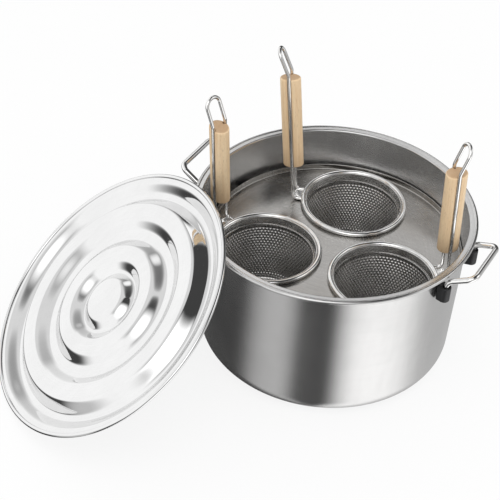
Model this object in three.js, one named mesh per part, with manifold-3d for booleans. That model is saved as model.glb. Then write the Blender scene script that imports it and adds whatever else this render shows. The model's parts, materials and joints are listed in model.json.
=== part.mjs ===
// Pasta pot: a drawn steel pot with two bar handles, a loose plate that carries three mesh baskets with wooden
// grips, and a stamped lid that leans on the rim.
// Sizes in millimetres, +Z up, +X to the right handle, the origin is the middle of the pot's underside.
import * as THREE from "three";
import { mergeVertices } from "three/addons/utils/BufferGeometryUtils.js";
import Module from "manifold-3d";

const wasm = await Module();
wasm.setup();

// Gap left between two pieces that touch
const GAP = 0.3;

// Pot
const RIM_RADIUS = 160; // outside of the rolled edge
const POT_HEIGHT = 183; // top of the rolled edge
const RIM_WIDTH = 10; // from the mouth to the outside of the rolled edge
const POT_SHEET = 1.2;
const WALL_TAPER = 4.2; // the wall's inside is this much narrower at the bottom corner than at the mouth
const CORNER_RADIUS = 23; // bottom corner, outside
const ROLL_RADIUS = 2.5; // rolled edge
const RIM_STEP = 0.8; // the flat rim lies this far below the top of the roll
const NECK_RADIUS = 2; // bend from the wall to the flat rim, on the upper side

// Side handles, their sockets and the studs in them
const BAR_DIAMETER = 6.5;
const BAR_STANDOFF = 8; // from the wall to the middle of an upright end
const BAR_SPAN = 74.8; // between the middles of the two upright ends
const BAR_BEND = 10;
const BAR_END_DEPTH = 10; // the length of an upright end that stands in its socket
const BAR_ROOT_DROP = 10.2; // the bend over the socket lies this far below the rim
const GRASP_LENGTH = 65.2; // outer run, between its two bends
const GRASP_REACH = 21.8; // middle of the outer run past the rim
const GRASP_RISE = 2; // middle of the outer run above the rim
const SOCKET_DROP = 17; // top of a socket below the rim
const SOCKET_HEIGHT = 19;
const SOCKET_WIDTH = 12.6;
const SOCKET_FRONT = 5.4; // from the middle of the bar to the front of the socket
const SOCKET_CHAMFER = 1;
const STUD_DIAMETER = 5;
const STUD_LENGTH = 7;
const STUD_LIFT = 4.5; // middle of a stud above the underside of its socket

// Plate and the lugs that carry it
const PLATE_DROP = 53.5; // top of the plate below the rim
const PLATE_SHEET = 1.2;
const PLATE_LIP = 7; // height of the upturned edge
const PLATE_CLEARANCE = 3.8; // from the lip of a centred plate to the wall
const PLATE_SHIFT = 3.4; // the loose plate lies this far to one side
const PLATE_SHIFT_AZIMUTH = 23; // degrees
const HOLE_CLEARANCE = 1.6; // from a basket's collar to its hole
const LUG_WIDTH = 12;
const LUG_DEPTH = 12;
const LUG_HEIGHT = 10;
const LUG_NOSE = 2; // height of a lug's inner edge

// Baskets
const EDGE_SPACE = 2.2; // from a basket's ring to the lip of the plate
const RING_SPACE = 11.6; // between two rings
const RING_WIRE = 5.5;
const COLLAR_SHEET = 1;
const COLLAR_RISE = 1; // top of the collar above the middle of the ring
const COLLAR_DROP = 12; // foot of the collar below the middle of the ring
const MESH_SHEET = 1.2;
const MESH_LAP = 3; // the mesh reaches this far up inside the collar
const MESH_TAPER = 7.4; // the mesh is this much narrower where its round bottom starts
const MESH_BOTTOM = 30; // height of the round bottom
const BASKET_DEPTH = 100; // from the middle of the ring to the lowest point
const WIRE_DIAMETER = 4;
const WIRE_SPAN = 18.5; // between the middles of the two wires of a handle
const WIRE_BEND = 6;
const WIRE_STANDOFF = 8.5; // from the outside of the ring to the upright wires
const WIRE_RISE = 38; // bare wire below the grip
const LOOP_LIFT = 4; // from the top of the grip to the bend of the loop
const LOOP_LENGTH = 32;
const LOOP_ANGLE = 19; // degrees by which the loop bends outwards
const LOOP_BEND = 10;
const GRIP_LENGTH = 113;
const GRIP_DEPTH = 24; // across, pointing away from the basket
const GRIP_WIDTH = 19.5; // across, from wire to wire
const GRIP_ROUND = 2.5;
const BRIDGE_SHEET = 1.2;

// Where each basket stands on the plate, where its handle points, and how the handle leans out and sideways,
// in degrees
const BASKETS = [
  { name: "back", place: 100.7, azimuth: 197.25, out: 7.1, side: -6.5 },
  { name: "left", place: 220.7, azimuth: 167.75, out: -4.6, side: 8.9 },
  { name: "right", place: 340.7, azimuth: 41.85, out: -4.6, side: -5.2 },
];

// Lid
const LID_OVERHANG = 1.2; // the closed lid stands out this far past the rim
const LID_SHEET = 1.2;
const LID_ROLL = 2.5;
const LID_AZIMUTH = 228.6; // degrees, the side of the pot it leans on
const LID_PAST_RIM = 41.6; // length of lid above the rim it leans on
const PLUG_CLEARANCE = 10.5; // from the plug's flat to the mouth of the pot
const BUTTON_RADIUS = 25;
// Flats of the stamped rings: where each starts and ends between the button and the plug, and its height
const LID_RINGS = [
  { from: 0.095, to: 0.105, height: -4.5 },
  { from: 0.21, to: 0.358, height: 5 },
  { from: 0.467, to: 0.563, height: -5 },
  { from: 0.672, to: 0.838, height: 4 },
  { from: 0.943, to: 1, height: -10 },
];
const BUTTON_HEIGHT = 5;
const PLUG_SLOPE = 12; // width of the slope from the plug to the flat edge

// Roundness
const POT_SEGMENTS = 56;
const BASKET_SEGMENTS = 32;
const BAR_SIDES = 10;
const WIRE_SIDES = 8;
const BEND_STEPS = 4;

// Sizes that follow
const MOUTH_RADIUS = RIM_RADIUS - RIM_WIDTH;
const PLATE_TOP = POT_HEIGHT - PLATE_DROP;
const PLATE_FOOT = PLATE_TOP - PLATE_SHEET;
const PLATE_RADIUS = wallInside(PLATE_FOOT) - PLATE_CLEARANCE;
// Three equal rings inside the lip: they keep RING_SPACE between them and EDGE_SPACE to the lip
const RING_REACH = PLATE_RADIUS - PLATE_SHEET - EDGE_SPACE;
const RING_RADIUS = (Math.sqrt(3) * RING_REACH - RING_SPACE) / (2 + Math.sqrt(3));
const HOLE_CIRCLE = RING_REACH - RING_RADIUS;
const RING_HEIGHT = PLATE_TOP + GAP + RING_WIRE / 2;
const COLLAR_RADIUS = RING_RADIUS - RING_WIRE - GAP;
const HOLE_RADIUS = COLLAR_RADIUS + HOLE_CLEARANCE;
const MESH_RADIUS = COLLAR_RADIUS - COLLAR_SHEET - GAP;
const SOCKET_TOP = POT_HEIGHT - SOCKET_DROP;
const SOCKET_FOOT = SOCKET_TOP - SOCKET_HEIGHT;
const LID_RADIUS = RIM_RADIUS + LID_OVERHANG;
const PLUG_RADIUS = MOUTH_RADIUS - PLUG_CLEARANCE;

// Inside radius of the pot's wall at a height above the bottom corner
function wallInside(z) {
  return MOUTH_RADIUS - (WALL_TAPER * (POT_HEIGHT - z)) / (POT_HEIGHT - CORNER_RADIUS);
}

function wallOutside(z) {
  return wallInside(z) + POT_SHEET;
}

// Finishes: colour, roughness, metalness
const FINISHES = {
  satin_steel: [0xb8b6b2, 0.34, 1],
  plate_steel: [0x9a9692, 0.42, 1],
  bright_steel: [0xdcdcda, 0.16, 1],
  mirror_steel: [0xe2e2e1, 0.1, 1],
  mesh_steel: [0x8f8e8b, 0.38, 1],
  black_plastic: [0x161616, 0.5, 0],
  beech: [0xdab587, 0.6, 0],
};

const pot = new THREE.Group();
pot.name = "pasta_pot";

function addMesh(parent, name, geometry, finish) {
  const [color, roughness, metalness] = FINISHES[finish];
  const mesh = new THREE.Mesh(geometry, new THREE.MeshStandardMaterial({ color, roughness, metalness }));
  mesh.name = name;
  parent.add(mesh);
  return mesh;
}

// A group turned about Z
function turned(parent, degrees) {
  const group = new THREE.Group();
  group.rotation.z = THREE.MathUtils.degToRad(degrees);
  parent.add(group);
  return group;
}

// A turned solid from a profile of [radius, height] points
function lathe(profile, segments) {
  const points = profile.map(([r, z]) => new THREE.Vector2(r, z));
  return new THREE.LatheGeometry(points, segments).rotateX(Math.PI / 2);
}

// Points of an arc, angles in degrees
function arc(r, z, radiusR, radiusZ, from, to, steps) {
  return Array.from({ length: steps + 1 }, (_, i) => {
    const angle = THREE.MathUtils.degToRad(from + ((to - from) * i) / steps);
    return [r + radiusR * Math.cos(angle), z + radiusZ * Math.sin(angle)];
  });
}

// A cylinder along Z between two heights
function cylinder(radius, low, high, sides) {
  return new THREE.CylinderGeometry(radius, radius, high - low, sides)
    .rotateX(Math.PI / 2)
    .translate(0, 0, (low + high) / 2);
}

function solidOf(geometry) {
  const bare = geometry.clone();
  bare.deleteAttribute("normal");
  bare.deleteAttribute("uv");
  const merged = mergeVertices(bare, 1e-4);
  return new wasm.Manifold(
    new wasm.Mesh({
      numProp: 3,
      vertProperties: new Float32Array(merged.attributes.position.array),
      triVerts: new Uint32Array(merged.index.array),
    }),
  );
}

// A geometry with the tools cut out of it
function cut(geometry, tools) {
  const left = tools.reduce((body, tool) => body.subtract(solidOf(tool)), solidOf(geometry));
  const mesh = left.getMesh();
  const result = new THREE.BufferGeometry();
  result.setAttribute("position", new THREE.BufferAttribute(mesh.vertProperties, 3));
  result.setIndex(new THREE.BufferAttribute(mesh.triVerts, 1));
  result.computeVertexNormals();
  return result;
}

// The middle line of a bent bar: straight runs between corners, each inner corner rounded by its own radius
class BentLine extends THREE.Curve {
  constructor(corners, radii) {
    super();
    this.stations = [];
    const run = (i) => corners[i + 1].clone().sub(corners[i]).normalize();
    const add = (point, tangent) => this.stations.push({ point, tangent });
    add(corners[0], run(0));
    radii.forEach((radius, i) => {
      const before = run(i);
      const after = run(i + 1);
      const turn = before.angleTo(after);
      const inward = after.clone().addScaledVector(before, -Math.cos(turn)).normalize();
      const start = corners[i + 1].clone().addScaledVector(before, -radius * Math.tan(turn / 2));
      for (let step = 0; step <= BEND_STEPS; step += 1) {
        const angle = (turn * step) / BEND_STEPS;
        const point = start
          .clone()
          .addScaledVector(before, radius * Math.sin(angle))
          .addScaledVector(inward, radius * (1 - Math.cos(angle)));
        const tangent = before.clone().multiplyScalar(Math.cos(angle)).addScaledVector(inward, Math.sin(angle));
        const last = this.stations[this.stations.length - 1];
        if (last.point.distanceTo(point) > 0.01) add(point, tangent);
      }
    });
    add(corners[corners.length - 1], run(corners.length - 2));
  }

  station(u) {
    return this.stations[Math.round(u * (this.stations.length - 1))];
  }

  getPointAt(u) {
    return this.station(u).point.clone();
  }

  getTangentAt(u) {
    return this.station(u).tangent.clone();
  }
}

// A round bar along a bent line
function bar(corners, radii, diameter, sides) {
  const line = new BentLine(corners, radii);
  const section = Array.from({ length: sides }, (_, i) => {
    const angle = (2 * Math.PI * i) / sides;
    return new THREE.Vector2(Math.cos(angle), Math.sin(angle)).multiplyScalar(diameter / 2);
  });
  return new THREE.ExtrudeGeometry(new THREE.Shape(section), {
    steps: line.stations.length - 1,
    extrudePath: line,
    bevelEnabled: false,
  });
}

// Pot body: one sheet with a round bottom corner, a tapered wall, a flat rim and a rolled edge
function potProfile() {
  const cornerMiddle = wallOutside(CORNER_RADIUS) - CORNER_RADIUS;
  const innerCorner = CORNER_RADIUS - POT_SHEET;
  const rimTop = POT_HEIGHT - RIM_STEP;
  const neckR = MOUTH_RADIUS + NECK_RADIUS;
  const neckZ = rimTop - NECK_RADIUS;
  const neckUnder = NECK_RADIUS - POT_SHEET;
  const rollR = RIM_RADIUS - ROLL_RADIUS;
  const rollZ = POT_HEIGHT - ROLL_RADIUS;
  const rollAngle = (z) => 180 - THREE.MathUtils.radToDeg(Math.asin((z - rollZ) / ROLL_RADIUS));
  return [
    [0, 0],
    ...arc(cornerMiddle, CORNER_RADIUS, CORNER_RADIUS, CORNER_RADIUS, -90, 0, 4),
    ...arc(neckR, neckZ, neckUnder, neckUnder, 180, 90, 1),
    ...arc(rollR, rollZ, ROLL_RADIUS, ROLL_RADIUS, rollAngle(rimTop - POT_SHEET), rollAngle(rimTop) + 360, 8),
    ...arc(neckR, neckZ, NECK_RADIUS, NECK_RADIUS, 90, 180, 2),
    ...arc(cornerMiddle, CORNER_RADIUS, innerCorner, innerCorner, 0, -90, 4),
    [0, POT_SHEET],
  ];
}
addMesh(pot, "pot_body", lathe(potProfile(), POT_SEGMENTS), "satin_steel");

// Side handles: one bent bar each, with an upright end in each of two sockets
const uprightRadius = wallOutside(SOCKET_TOP) + BAR_STANDOFF;
const uprightX = Math.sqrt(uprightRadius ** 2 - (BAR_SPAN / 2) ** 2);
const uprightAngle = THREE.MathUtils.radToDeg(Math.atan2(BAR_SPAN / 2, uprightX));

function sideBar() {
  const end = SOCKET_TOP - BAR_END_DEPTH;
  const root = POT_HEIGHT - BAR_ROOT_DROP;
  const half = [
    new THREE.Vector3(uprightX, BAR_SPAN / 2, end),
    new THREE.Vector3(uprightX, BAR_SPAN / 2, root),
    new THREE.Vector3(RIM_RADIUS + GRASP_REACH, GRASP_LENGTH / 2, POT_HEIGHT + GRASP_RISE),
  ];
  const other = half.map((p) => new THREE.Vector3(p.x, -p.y, p.z)).reverse();
  return bar([...half, ...other], Array(4).fill(BAR_BEND), BAR_DIAMETER, BAR_SIDES);
}

// A socket as it stands on the +X side of the wall, with a blind bore for the bar and one for the stud
function socket() {
  const back = wallOutside(SOCKET_TOP) + GAP;
  const half = SOCKET_WIDTH / 2 - SOCKET_CHAMFER;
  const front = uprightRadius + SOCKET_FRONT - SOCKET_WIDTH / 2;
  const plan = new THREE.Shape();
  plan.moveTo(back + SOCKET_CHAMFER, -half);
  plan.lineTo(front, -half);
  plan.absarc(front, 0, half, -Math.PI / 2, Math.PI / 2, false);
  plan.lineTo(back + SOCKET_CHAMFER, half);
  plan.closePath();
  const block = new THREE.ExtrudeGeometry(plan, {
    depth: SOCKET_HEIGHT - 2 * SOCKET_CHAMFER,
    curveSegments: 5,
    bevelThickness: SOCKET_CHAMFER,
    bevelSize: SOCKET_CHAMFER,
    bevelSegments: 1,
  }).translate(0, 0, SOCKET_FOOT + SOCKET_CHAMFER);
  const barEnd = SOCKET_TOP - BAR_END_DEPTH;
  const barBore = cylinder(BAR_DIAMETER / 2 + GAP, barEnd - GAP, SOCKET_TOP + SOCKET_CHAMFER, 12);
  const studBore = stud(STUD_DIAMETER / 2 + GAP, MOUTH_RADIUS - back, STUD_LENGTH + GAP);
  return cut(block, [barBore.translate(uprightRadius, 0, 0), studBore]);
}

// A stud along X, measured from the outside of the wall
function stud(radius, start, end) {
  const z = SOCKET_FOOT + STUD_LIFT;
  const wall = wallOutside(z);
  return cylinder(radius, wall + start, wall + end, 12).rotateY(Math.PI / 2).translate(0, 0, z);
}

for (const [side, angle, ends] of [
  ["right", 0, { back: 1, front: -1 }],
  ["left", 180, { back: -1, front: 1 }],
]) {
  addMesh(turned(pot, angle), "side_handle_" + side, sideBar(), "bright_steel");
  for (const [end, sign] of Object.entries(ends)) {
    const place = turned(pot, angle + sign * uprightAngle);
    addMesh(place, `handle_socket_${side}_${end}`, socket(), "black_plastic");
    addMesh(place, `socket_stud_${side}_${end}`, stud(STUD_DIAMETER / 2, GAP, STUD_LENGTH), "bright_steel");
  }
}

// Plate: a flat disc with an upturned lip and a hole for each basket, a little off the middle of the pot
const onCircle = (degrees, radius) => {
  const angle = THREE.MathUtils.degToRad(degrees);
  return [radius * Math.cos(angle), radius * Math.sin(angle)];
};
const plateDisc = lathe(
  [
    [0, PLATE_FOOT],
    [PLATE_RADIUS, PLATE_FOOT],
    [PLATE_RADIUS, PLATE_TOP + PLATE_LIP],
    [PLATE_RADIUS - PLATE_SHEET, PLATE_TOP + PLATE_LIP],
    [PLATE_RADIUS - PLATE_SHEET, PLATE_TOP],
    [0, PLATE_TOP],
  ],
  POT_SEGMENTS,
);
const plateHoles = BASKETS.map(({ place }) => {
  const [x, y] = onCircle(place, HOLE_CIRCLE);
  return cylinder(HOLE_RADIUS, PLATE_FOOT - 1, PLATE_TOP + 1, 48).translate(x, y, 0);
});
const deck = new THREE.Group();
deck.position.set(...onCircle(PLATE_SHIFT_AZIMUTH, PLATE_SHIFT), 0);
pot.add(deck);
addMesh(deck, "basket_plate", cut(plateDisc, plateHoles), "plate_steel");

// Lugs under the plate, one between each two baskets
function lug() {
  const top = PLATE_FOOT - GAP;
  // The flat back of a lug stays clear of the round wall
  const wallFlat = (z) => wallInside(z) * Math.cos(Math.PI / POT_SEGMENTS);
  const flatBack = (z) => Math.sqrt(wallFlat(z) ** 2 - (LUG_WIDTH / 2) ** 2) - GAP;
  const side = new THREE.Shape([
    new THREE.Vector2(flatBack(top), top),
    new THREE.Vector2(flatBack(top) - LUG_DEPTH, top),
    new THREE.Vector2(flatBack(top) - LUG_DEPTH, top - LUG_NOSE),
    new THREE.Vector2(flatBack(top - LUG_HEIGHT), top - LUG_HEIGHT),
  ]);
  return new THREE.ExtrudeGeometry(side, { depth: LUG_WIDTH, bevelEnabled: false })
    .rotateX(Math.PI / 2)
    .translate(0, LUG_WIDTH / 2, 0);
}
BASKETS.forEach(({ place }, i) => {
  addMesh(turned(pot, place + 60), `plate_lug_${i + 1}`, lug(), "satin_steel");
});

// A basket's mesh bowl: a tapered side and a round bottom
function meshProfile() {
  const top = MESH_LAP - COLLAR_DROP;
  const bend = MESH_BOTTOM - BASKET_DEPTH;
  const foot = MESH_RADIUS - MESH_TAPER;
  const inner = foot - MESH_SHEET;
  return [
    ...arc(0, bend, foot, MESH_BOTTOM, -90, 0, 4),
    [MESH_RADIUS, top],
    [MESH_RADIUS - MESH_SHEET, top],
    ...arc(0, bend, inner, MESH_BOTTOM - MESH_SHEET, 0, -90, 4),
  ];
}

function collarProfile() {
  const inner = COLLAR_RADIUS - COLLAR_SHEET;
  return [
    [inner, -COLLAR_DROP],
    [COLLAR_RADIUS, -COLLAR_DROP],
    [COLLAR_RADIUS, COLLAR_RISE],
    [inner, COLLAR_RISE],
    [inner, -COLLAR_DROP],
  ];
}

// A grip along Z with a groove on each side for the wire
function grip() {
  const half = new THREE.Shape();
  half.absellipse(0, 0, GRIP_DEPTH / 2, GRIP_WIDTH / 2, 0, 2 * Math.PI);
  const wood = new THREE.ExtrudeGeometry(half, {
    depth: GRIP_LENGTH - 2 * GRIP_ROUND,
    curveSegments: 10,
    bevelThickness: GRIP_ROUND,
    bevelSize: GRIP_ROUND,
    bevelOffset: -GRIP_ROUND,
    bevelSegments: 2,
  }).translate(0, 0, GRIP_ROUND);
  const sides = 12;
  const groove = (WIRE_DIAMETER / 2 + GAP) / Math.cos(Math.PI / sides);
  const grooves = [1, -1].map((sign) =>
    cylinder(groove, -1, GRIP_LENGTH + 1, sides).translate(0, (sign * WIRE_SPAN) / 2, 0),
  );
  return cut(wood, grooves);
}

function addBasket({ name, place, azimuth, out, side }) {
  const basket = turned(deck, azimuth);
  basket.position.set(...onCircle(place, HOLE_CIRCLE), RING_HEIGHT);
  const prefix = `basket_${name}_`;
  const ring = new THREE.TorusGeometry(RING_RADIUS - RING_WIRE / 2, RING_WIRE / 2, 8, BASKET_SEGMENTS);
  addMesh(basket, prefix + "ring", ring, "bright_steel");
  addMesh(basket, prefix + "collar", lathe(collarProfile(), BASKET_SEGMENTS), "bright_steel");
  addMesh(basket, prefix + "mesh", lathe(meshProfile(), BASKET_SEGMENTS), "mesh_steel");

  // The handle's own axes: up along the grip, across from wire to wire, away from the basket
  const lean = (degrees) => Math.tan(THREE.MathUtils.degToRad(degrees));
  const up = new THREE.Vector3(lean(out), lean(side), 1).normalize();
  const across = new THREE.Vector3(0, 1, 0).addScaledVector(up, -up.y).normalize();
  const away = across.clone().cross(up);
  const loopAngle = THREE.MathUtils.degToRad(LOOP_ANGLE);
  const loopUp = up.clone().multiplyScalar(Math.cos(loopAngle)).addScaledVector(away, Math.sin(loopAngle));
  const root = new THREE.Vector3(RING_RADIUS + WIRE_STANDOFF, 0, 0);
  const footY = WIRE_SPAN / 2 / Math.sqrt(1 - up.y ** 2);
  const innerY = footY - WIRE_DIAMETER / 2;
  const ringFace = Math.sqrt(RING_RADIUS ** 2 - innerY ** 2) + GAP;

  const wireSide = (sign) => {
    const bend = root
      .clone()
      .addScaledVector(across, (sign * WIRE_SPAN) / 2)
      .addScaledVector(up, WIRE_RISE + GRIP_LENGTH + LOOP_LIFT);
    return [
      new THREE.Vector3(ringFace, sign * footY, 0),
      new THREE.Vector3(root.x, sign * footY, 0),
      bend,
      bend.clone().addScaledVector(loopUp, LOOP_LENGTH),
    ];
  };
  const radii = [WIRE_BEND, LOOP_BEND, WIRE_SPAN / 2];
  const wire = bar(
    [...wireSide(1), ...wireSide(-1).reverse()],
    [...radii, ...radii.slice().reverse()],
    WIRE_DIAMETER,
    WIRE_SIDES,
  );
  addMesh(basket, prefix + "handle_wire", wire, "bright_steel");

  const bridgeStart = RING_RADIUS + GAP;
  const bridgeEnd = root.x;
  const bridge = new THREE.BoxGeometry(bridgeEnd - bridgeStart, 2 * (innerY - GAP), BRIDGE_SHEET);
  addMesh(basket, prefix + "bridge", bridge.translate((bridgeStart + bridgeEnd) / 2, 0, 0), "bright_steel");

  const wood = addMesh(basket, prefix + "grip", grip(), "beech");
  wood.setRotationFromMatrix(new THREE.Matrix4().makeBasis(away, across, up));
  wood.position.copy(root).addScaledVector(up, WIRE_RISE);
}
BASKETS.forEach(addBasket);

// Upper side of the lid's sheet from the button to the edge, heights from the middle of the flat edge
function lidTop() {
  const radiusAt = (share) => THREE.MathUtils.lerp(BUTTON_RADIUS, PLUG_RADIUS, share);
  const rings = LID_RINGS.flatMap(({ from, to, height }) => [
    [radiusAt(from), height],
    [radiusAt(to), height],
  ]);
  const flat = LID_SHEET / 2;
  const button = [
    [0, BUTTON_HEIGHT],
    [BUTTON_RADIUS, BUTTON_HEIGHT],
  ];
  return [...button, ...rings, [PLUG_RADIUS + PLUG_SLOPE, 0]].map(([r, z]) => [r, z + flat]);
}

function lidUnderside() {
  return lidTop().map(([r, z]) => [r, z - LID_SHEET]);
}

function lidProfile() {
  const rollR = LID_RADIUS - LID_ROLL;
  const start = THREE.MathUtils.radToDeg(Math.asin(LID_SHEET / 2 / LID_ROLL));
  return [
    ...lidUnderside(),
    ...arc(rollR, 0, LID_ROLL, LID_ROLL, start - 180, 180 - start, 8),
    ...lidTop().reverse(),
  ];
}

// The leaning lid stands with its edge on the floor, its underside against the rim
const lidLean = Math.asin(POT_HEIGHT / (2 * LID_RADIUS - LID_PAST_RIM));
const lidOut = new THREE.Vector3(...onCircle(LID_AZIMUTH, 1), 0);

// Place of the lid when the middle of its rolled edge stands at a distance from the pot's axis
function lidPlace(distance) {
  const floorUp = new THREE.Vector3(0, 0, 1);
  const sin = Math.sin(lidLean);
  const cos = Math.cos(lidLean);
  const normal = lidOut.clone().multiplyScalar(sin).addScaledVector(floorUp, cos);
  const downhill = lidOut.clone().multiplyScalar(cos).addScaledVector(floorUp, -sin);
  const centre = lidOut.clone().multiplyScalar(distance).setZ(LID_ROLL);
  centre.addScaledVector(downhill, LID_ROLL - LID_RADIUS);
  const place = new THREE.Matrix4().makeBasis(downhill, normal.clone().cross(downhill), normal);
  return place.setPosition(centre);
}

// Whether the lid at that distance comes nearer than the gap to the rolled edge of the pot
function lidTouches(distance) {
  const toLid = lidPlace(distance).invert();
  const underside = lidUnderside().map(([r, z]) => new THREE.Vector3(r, 0, z));
  const steps = 720;
  return Array.from({ length: steps }, (_, i) => {
    const [x, y] = onCircle((360 * i) / steps, RIM_RADIUS - ROLL_RADIUS);
    const point = new THREE.Vector3(x, y, POT_HEIGHT - ROLL_RADIUS).applyMatrix4(toLid);
    return new THREE.Vector3(Math.hypot(point.x, point.y), 0, point.z);
  }).some((point) =>
    underside.slice(1).some((end, j) => {
      const near = new THREE.Line3(underside[j], end).closestPointToPoint(point, true, new THREE.Vector3());
      return near.distanceTo(point) < ROLL_RADIUS + GAP;
    }),
  );
}

// The lid is brought in from far out, in ever finer steps, until it would touch
function lidDistance() {
  let distance = RIM_RADIUS + 2 * LID_RADIUS;
  for (let step = 4; step > 0.001; step /= 4) {
    while (!lidTouches(distance - step)) distance -= step;
  }
  return distance;
}
const lid = addMesh(pot, "lid", lathe(lidProfile(), POT_SEGMENTS), "mirror_steel");
lid.applyMatrix4(lidPlace(lidDistance()));

export default pot;
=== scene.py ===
"""Finished surfaces of a pasta pot: a satin steel pot with bar handles, a plate that carries three punched
baskets on wooden grips, and a stamped lid that leans on the rim.

Every length is in metres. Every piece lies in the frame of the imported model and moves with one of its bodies.
"""

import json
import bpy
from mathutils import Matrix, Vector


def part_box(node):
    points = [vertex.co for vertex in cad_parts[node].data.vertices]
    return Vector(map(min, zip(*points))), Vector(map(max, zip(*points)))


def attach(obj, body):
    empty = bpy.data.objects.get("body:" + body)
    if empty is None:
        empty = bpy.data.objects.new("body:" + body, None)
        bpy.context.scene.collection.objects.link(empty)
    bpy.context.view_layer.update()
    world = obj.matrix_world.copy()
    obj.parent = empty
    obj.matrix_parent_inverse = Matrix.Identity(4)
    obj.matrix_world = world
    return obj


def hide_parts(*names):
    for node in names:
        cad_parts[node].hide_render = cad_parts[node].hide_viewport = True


bl_info = {
    "name": "Pasta Pot Surfaces",
    "version": (1, 0, 0),
    "blender": (4, 5, 0),
    "location": "3D View > Sidebar > Pasta Pot",
    "description": "Builds the finished surfaces of a pasta pot round its packed frame",
    "category": "Object",
}

from math import asin, atan2, cos, degrees, pi, radians, sin, sqrt, tan

import bpy
import numpy as np
from bpy.props import FloatProperty, FloatVectorProperty, IntProperty, PointerProperty
from mathutils import Matrix

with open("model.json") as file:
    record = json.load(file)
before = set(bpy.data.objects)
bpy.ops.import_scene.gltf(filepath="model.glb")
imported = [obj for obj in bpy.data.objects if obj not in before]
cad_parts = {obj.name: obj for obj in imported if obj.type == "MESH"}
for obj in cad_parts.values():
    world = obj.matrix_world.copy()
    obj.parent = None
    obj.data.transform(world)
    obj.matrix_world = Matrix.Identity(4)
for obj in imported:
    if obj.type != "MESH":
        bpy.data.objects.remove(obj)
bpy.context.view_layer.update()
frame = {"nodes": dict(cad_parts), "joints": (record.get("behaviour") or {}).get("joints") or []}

# Where each basket's handle points and how it leans out and sideways, in degrees, and where its wood was cut
# from the plank
BASKETS = {
    "back": {"azimuth": 197.25, "out": 7.1, "side": -6.5, "plank": 0.0},
    "left": {"azimuth": 167.75, "out": -4.6, "side": 8.9, "plank": 0.37},
    "right": {"azimuth": 41.85, "out": -4.6, "side": -5.2, "plank": 0.81},
}
# Each side handle's turn about the pot's axis, and the sign of each of its ends
SIDE_HANDLES = {
    "right": (0.0, {"back": 1, "front": -1}),
    "left": (pi, {"back": -1, "front": 1}),
}
# How finely round shapes are cut: points round pot and lid, round a basket, round a bar and round a wire, and
# steps in a bend, a rolled edge and the small rounding of a sheet's edge
LARGE_ROUND, BASKET_ROUND, BAR_ROUND, WIRE_ROUND = 288, 192, 28, 20
BEND_STEPS, ROLL_STEPS, EDGE_STEPS = 16, 28, 8
# The seam of a rolled edge is this deep, as a share of the roll's radius
SEAM_DEPTH = 0.5


# Properties


def length(name, description, default):
    """A length that the sidebar shows in the scene's unit."""
    return FloatProperty(name=name, description=description, default=default, precision=4, unit="LENGTH")


def angle(name, description, in_degrees):
    """An angle, given here in degrees."""
    return FloatProperty(name=name, description=description, default=radians(in_degrees), subtype="ANGLE")


def colour(name, description, default):
    """A linear colour."""
    return FloatVectorProperty(
        name=name, description=description, default=default, size=3, min=0.0, max=1.0, subtype="COLOR"
    )


def share(name, description, default):
    """A number from 0 to 1."""
    return FloatProperty(
        name=name, description=description, default=default, min=0.0, max=1.0, subtype="FACTOR"
    )


class PotSizes(bpy.types.PropertyGroup):
    """Sizes of the pot's shell."""

    rim_radius: length("Rim radius", "Outside of the rolled edge", 0.160)
    height: length("Height", "Top of the rolled edge", 0.183)
    rim_width: length("Rim width", "From the mouth to the outside of the rolled edge", 0.010)
    sheet: length("Sheet", "Thickness of the steel", 0.0012)
    taper: length("Taper", "How much narrower the wall is at the bottom corner than at the mouth", 0.0042)
    corner: length("Bottom corner", "Outside radius of the bottom corner", 0.023)
    roll: length("Roll", "Radius of the rolled edge", 0.0025)
    step: length("Rim step", "The flat rim lies this far below the top of the roll", 0.0008)
    neck: length("Neck", "Radius of the bend from the wall to the flat rim", 0.002)


class HandleSizes(bpy.types.PropertyGroup):
    """Sizes of the side handles and their sockets."""

    bar: length("Bar", "Diameter of the bar", 0.0065)
    standoff: length("Standoff", "From the wall to the middle of an upright end", 0.008)
    span: length("Span", "Between the middles of the upright ends", 0.0748)
    bend: length("Bend", "Radius of the bar's bends", 0.010)
    end_depth: length("End depth", "Length of an upright end inside its socket", 0.010)
    root_drop: length("Root drop", "The bend over the socket lies this far below the rim", 0.0102)
    grasp_length: length("Grasp length", "Outer run between its two bends", 0.0652)
    grasp_reach: length("Grasp reach", "Middle of the outer run past the rim", 0.0218)
    grasp_rise: length("Grasp rise", "Middle of the outer run above the rim", 0.002)
    socket_drop: length("Socket drop", "Top of a socket below the rim", 0.017)
    socket_height: length("Socket height", "Height of a socket", 0.019)
    socket_width: length("Socket width", "Width of a socket", 0.0126)
    socket_front: length("Socket front", "From the middle of the bar to the front of the socket", 0.0054)
    socket_round: length("Socket rounding", "Radius of a socket's edges", 0.0013)
    wall_gap: length("Wall gap", "Gap between a socket and the wall", 0.0003)


class PlateSizes(bpy.types.PropertyGroup):
    """Sizes of the plate that carries the baskets."""

    sheet: length("Sheet", "Thickness of the plate", 0.0012)
    lip: length("Lip", "Height of the upturned edge over the plate", 0.007)
    bend: length("Lip bend", "Inside radius of the bend to the lip", 0.0018)
    hole_circle: length("Hole circle", "From the middle of the plate to the middle of a hole", 0.07887)
    hole_radius: length("Hole radius", "Radius of a basket's hole", 0.0583)
    first_hole: angle("First hole", "Azimuth of the first hole", 100.7)


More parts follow.
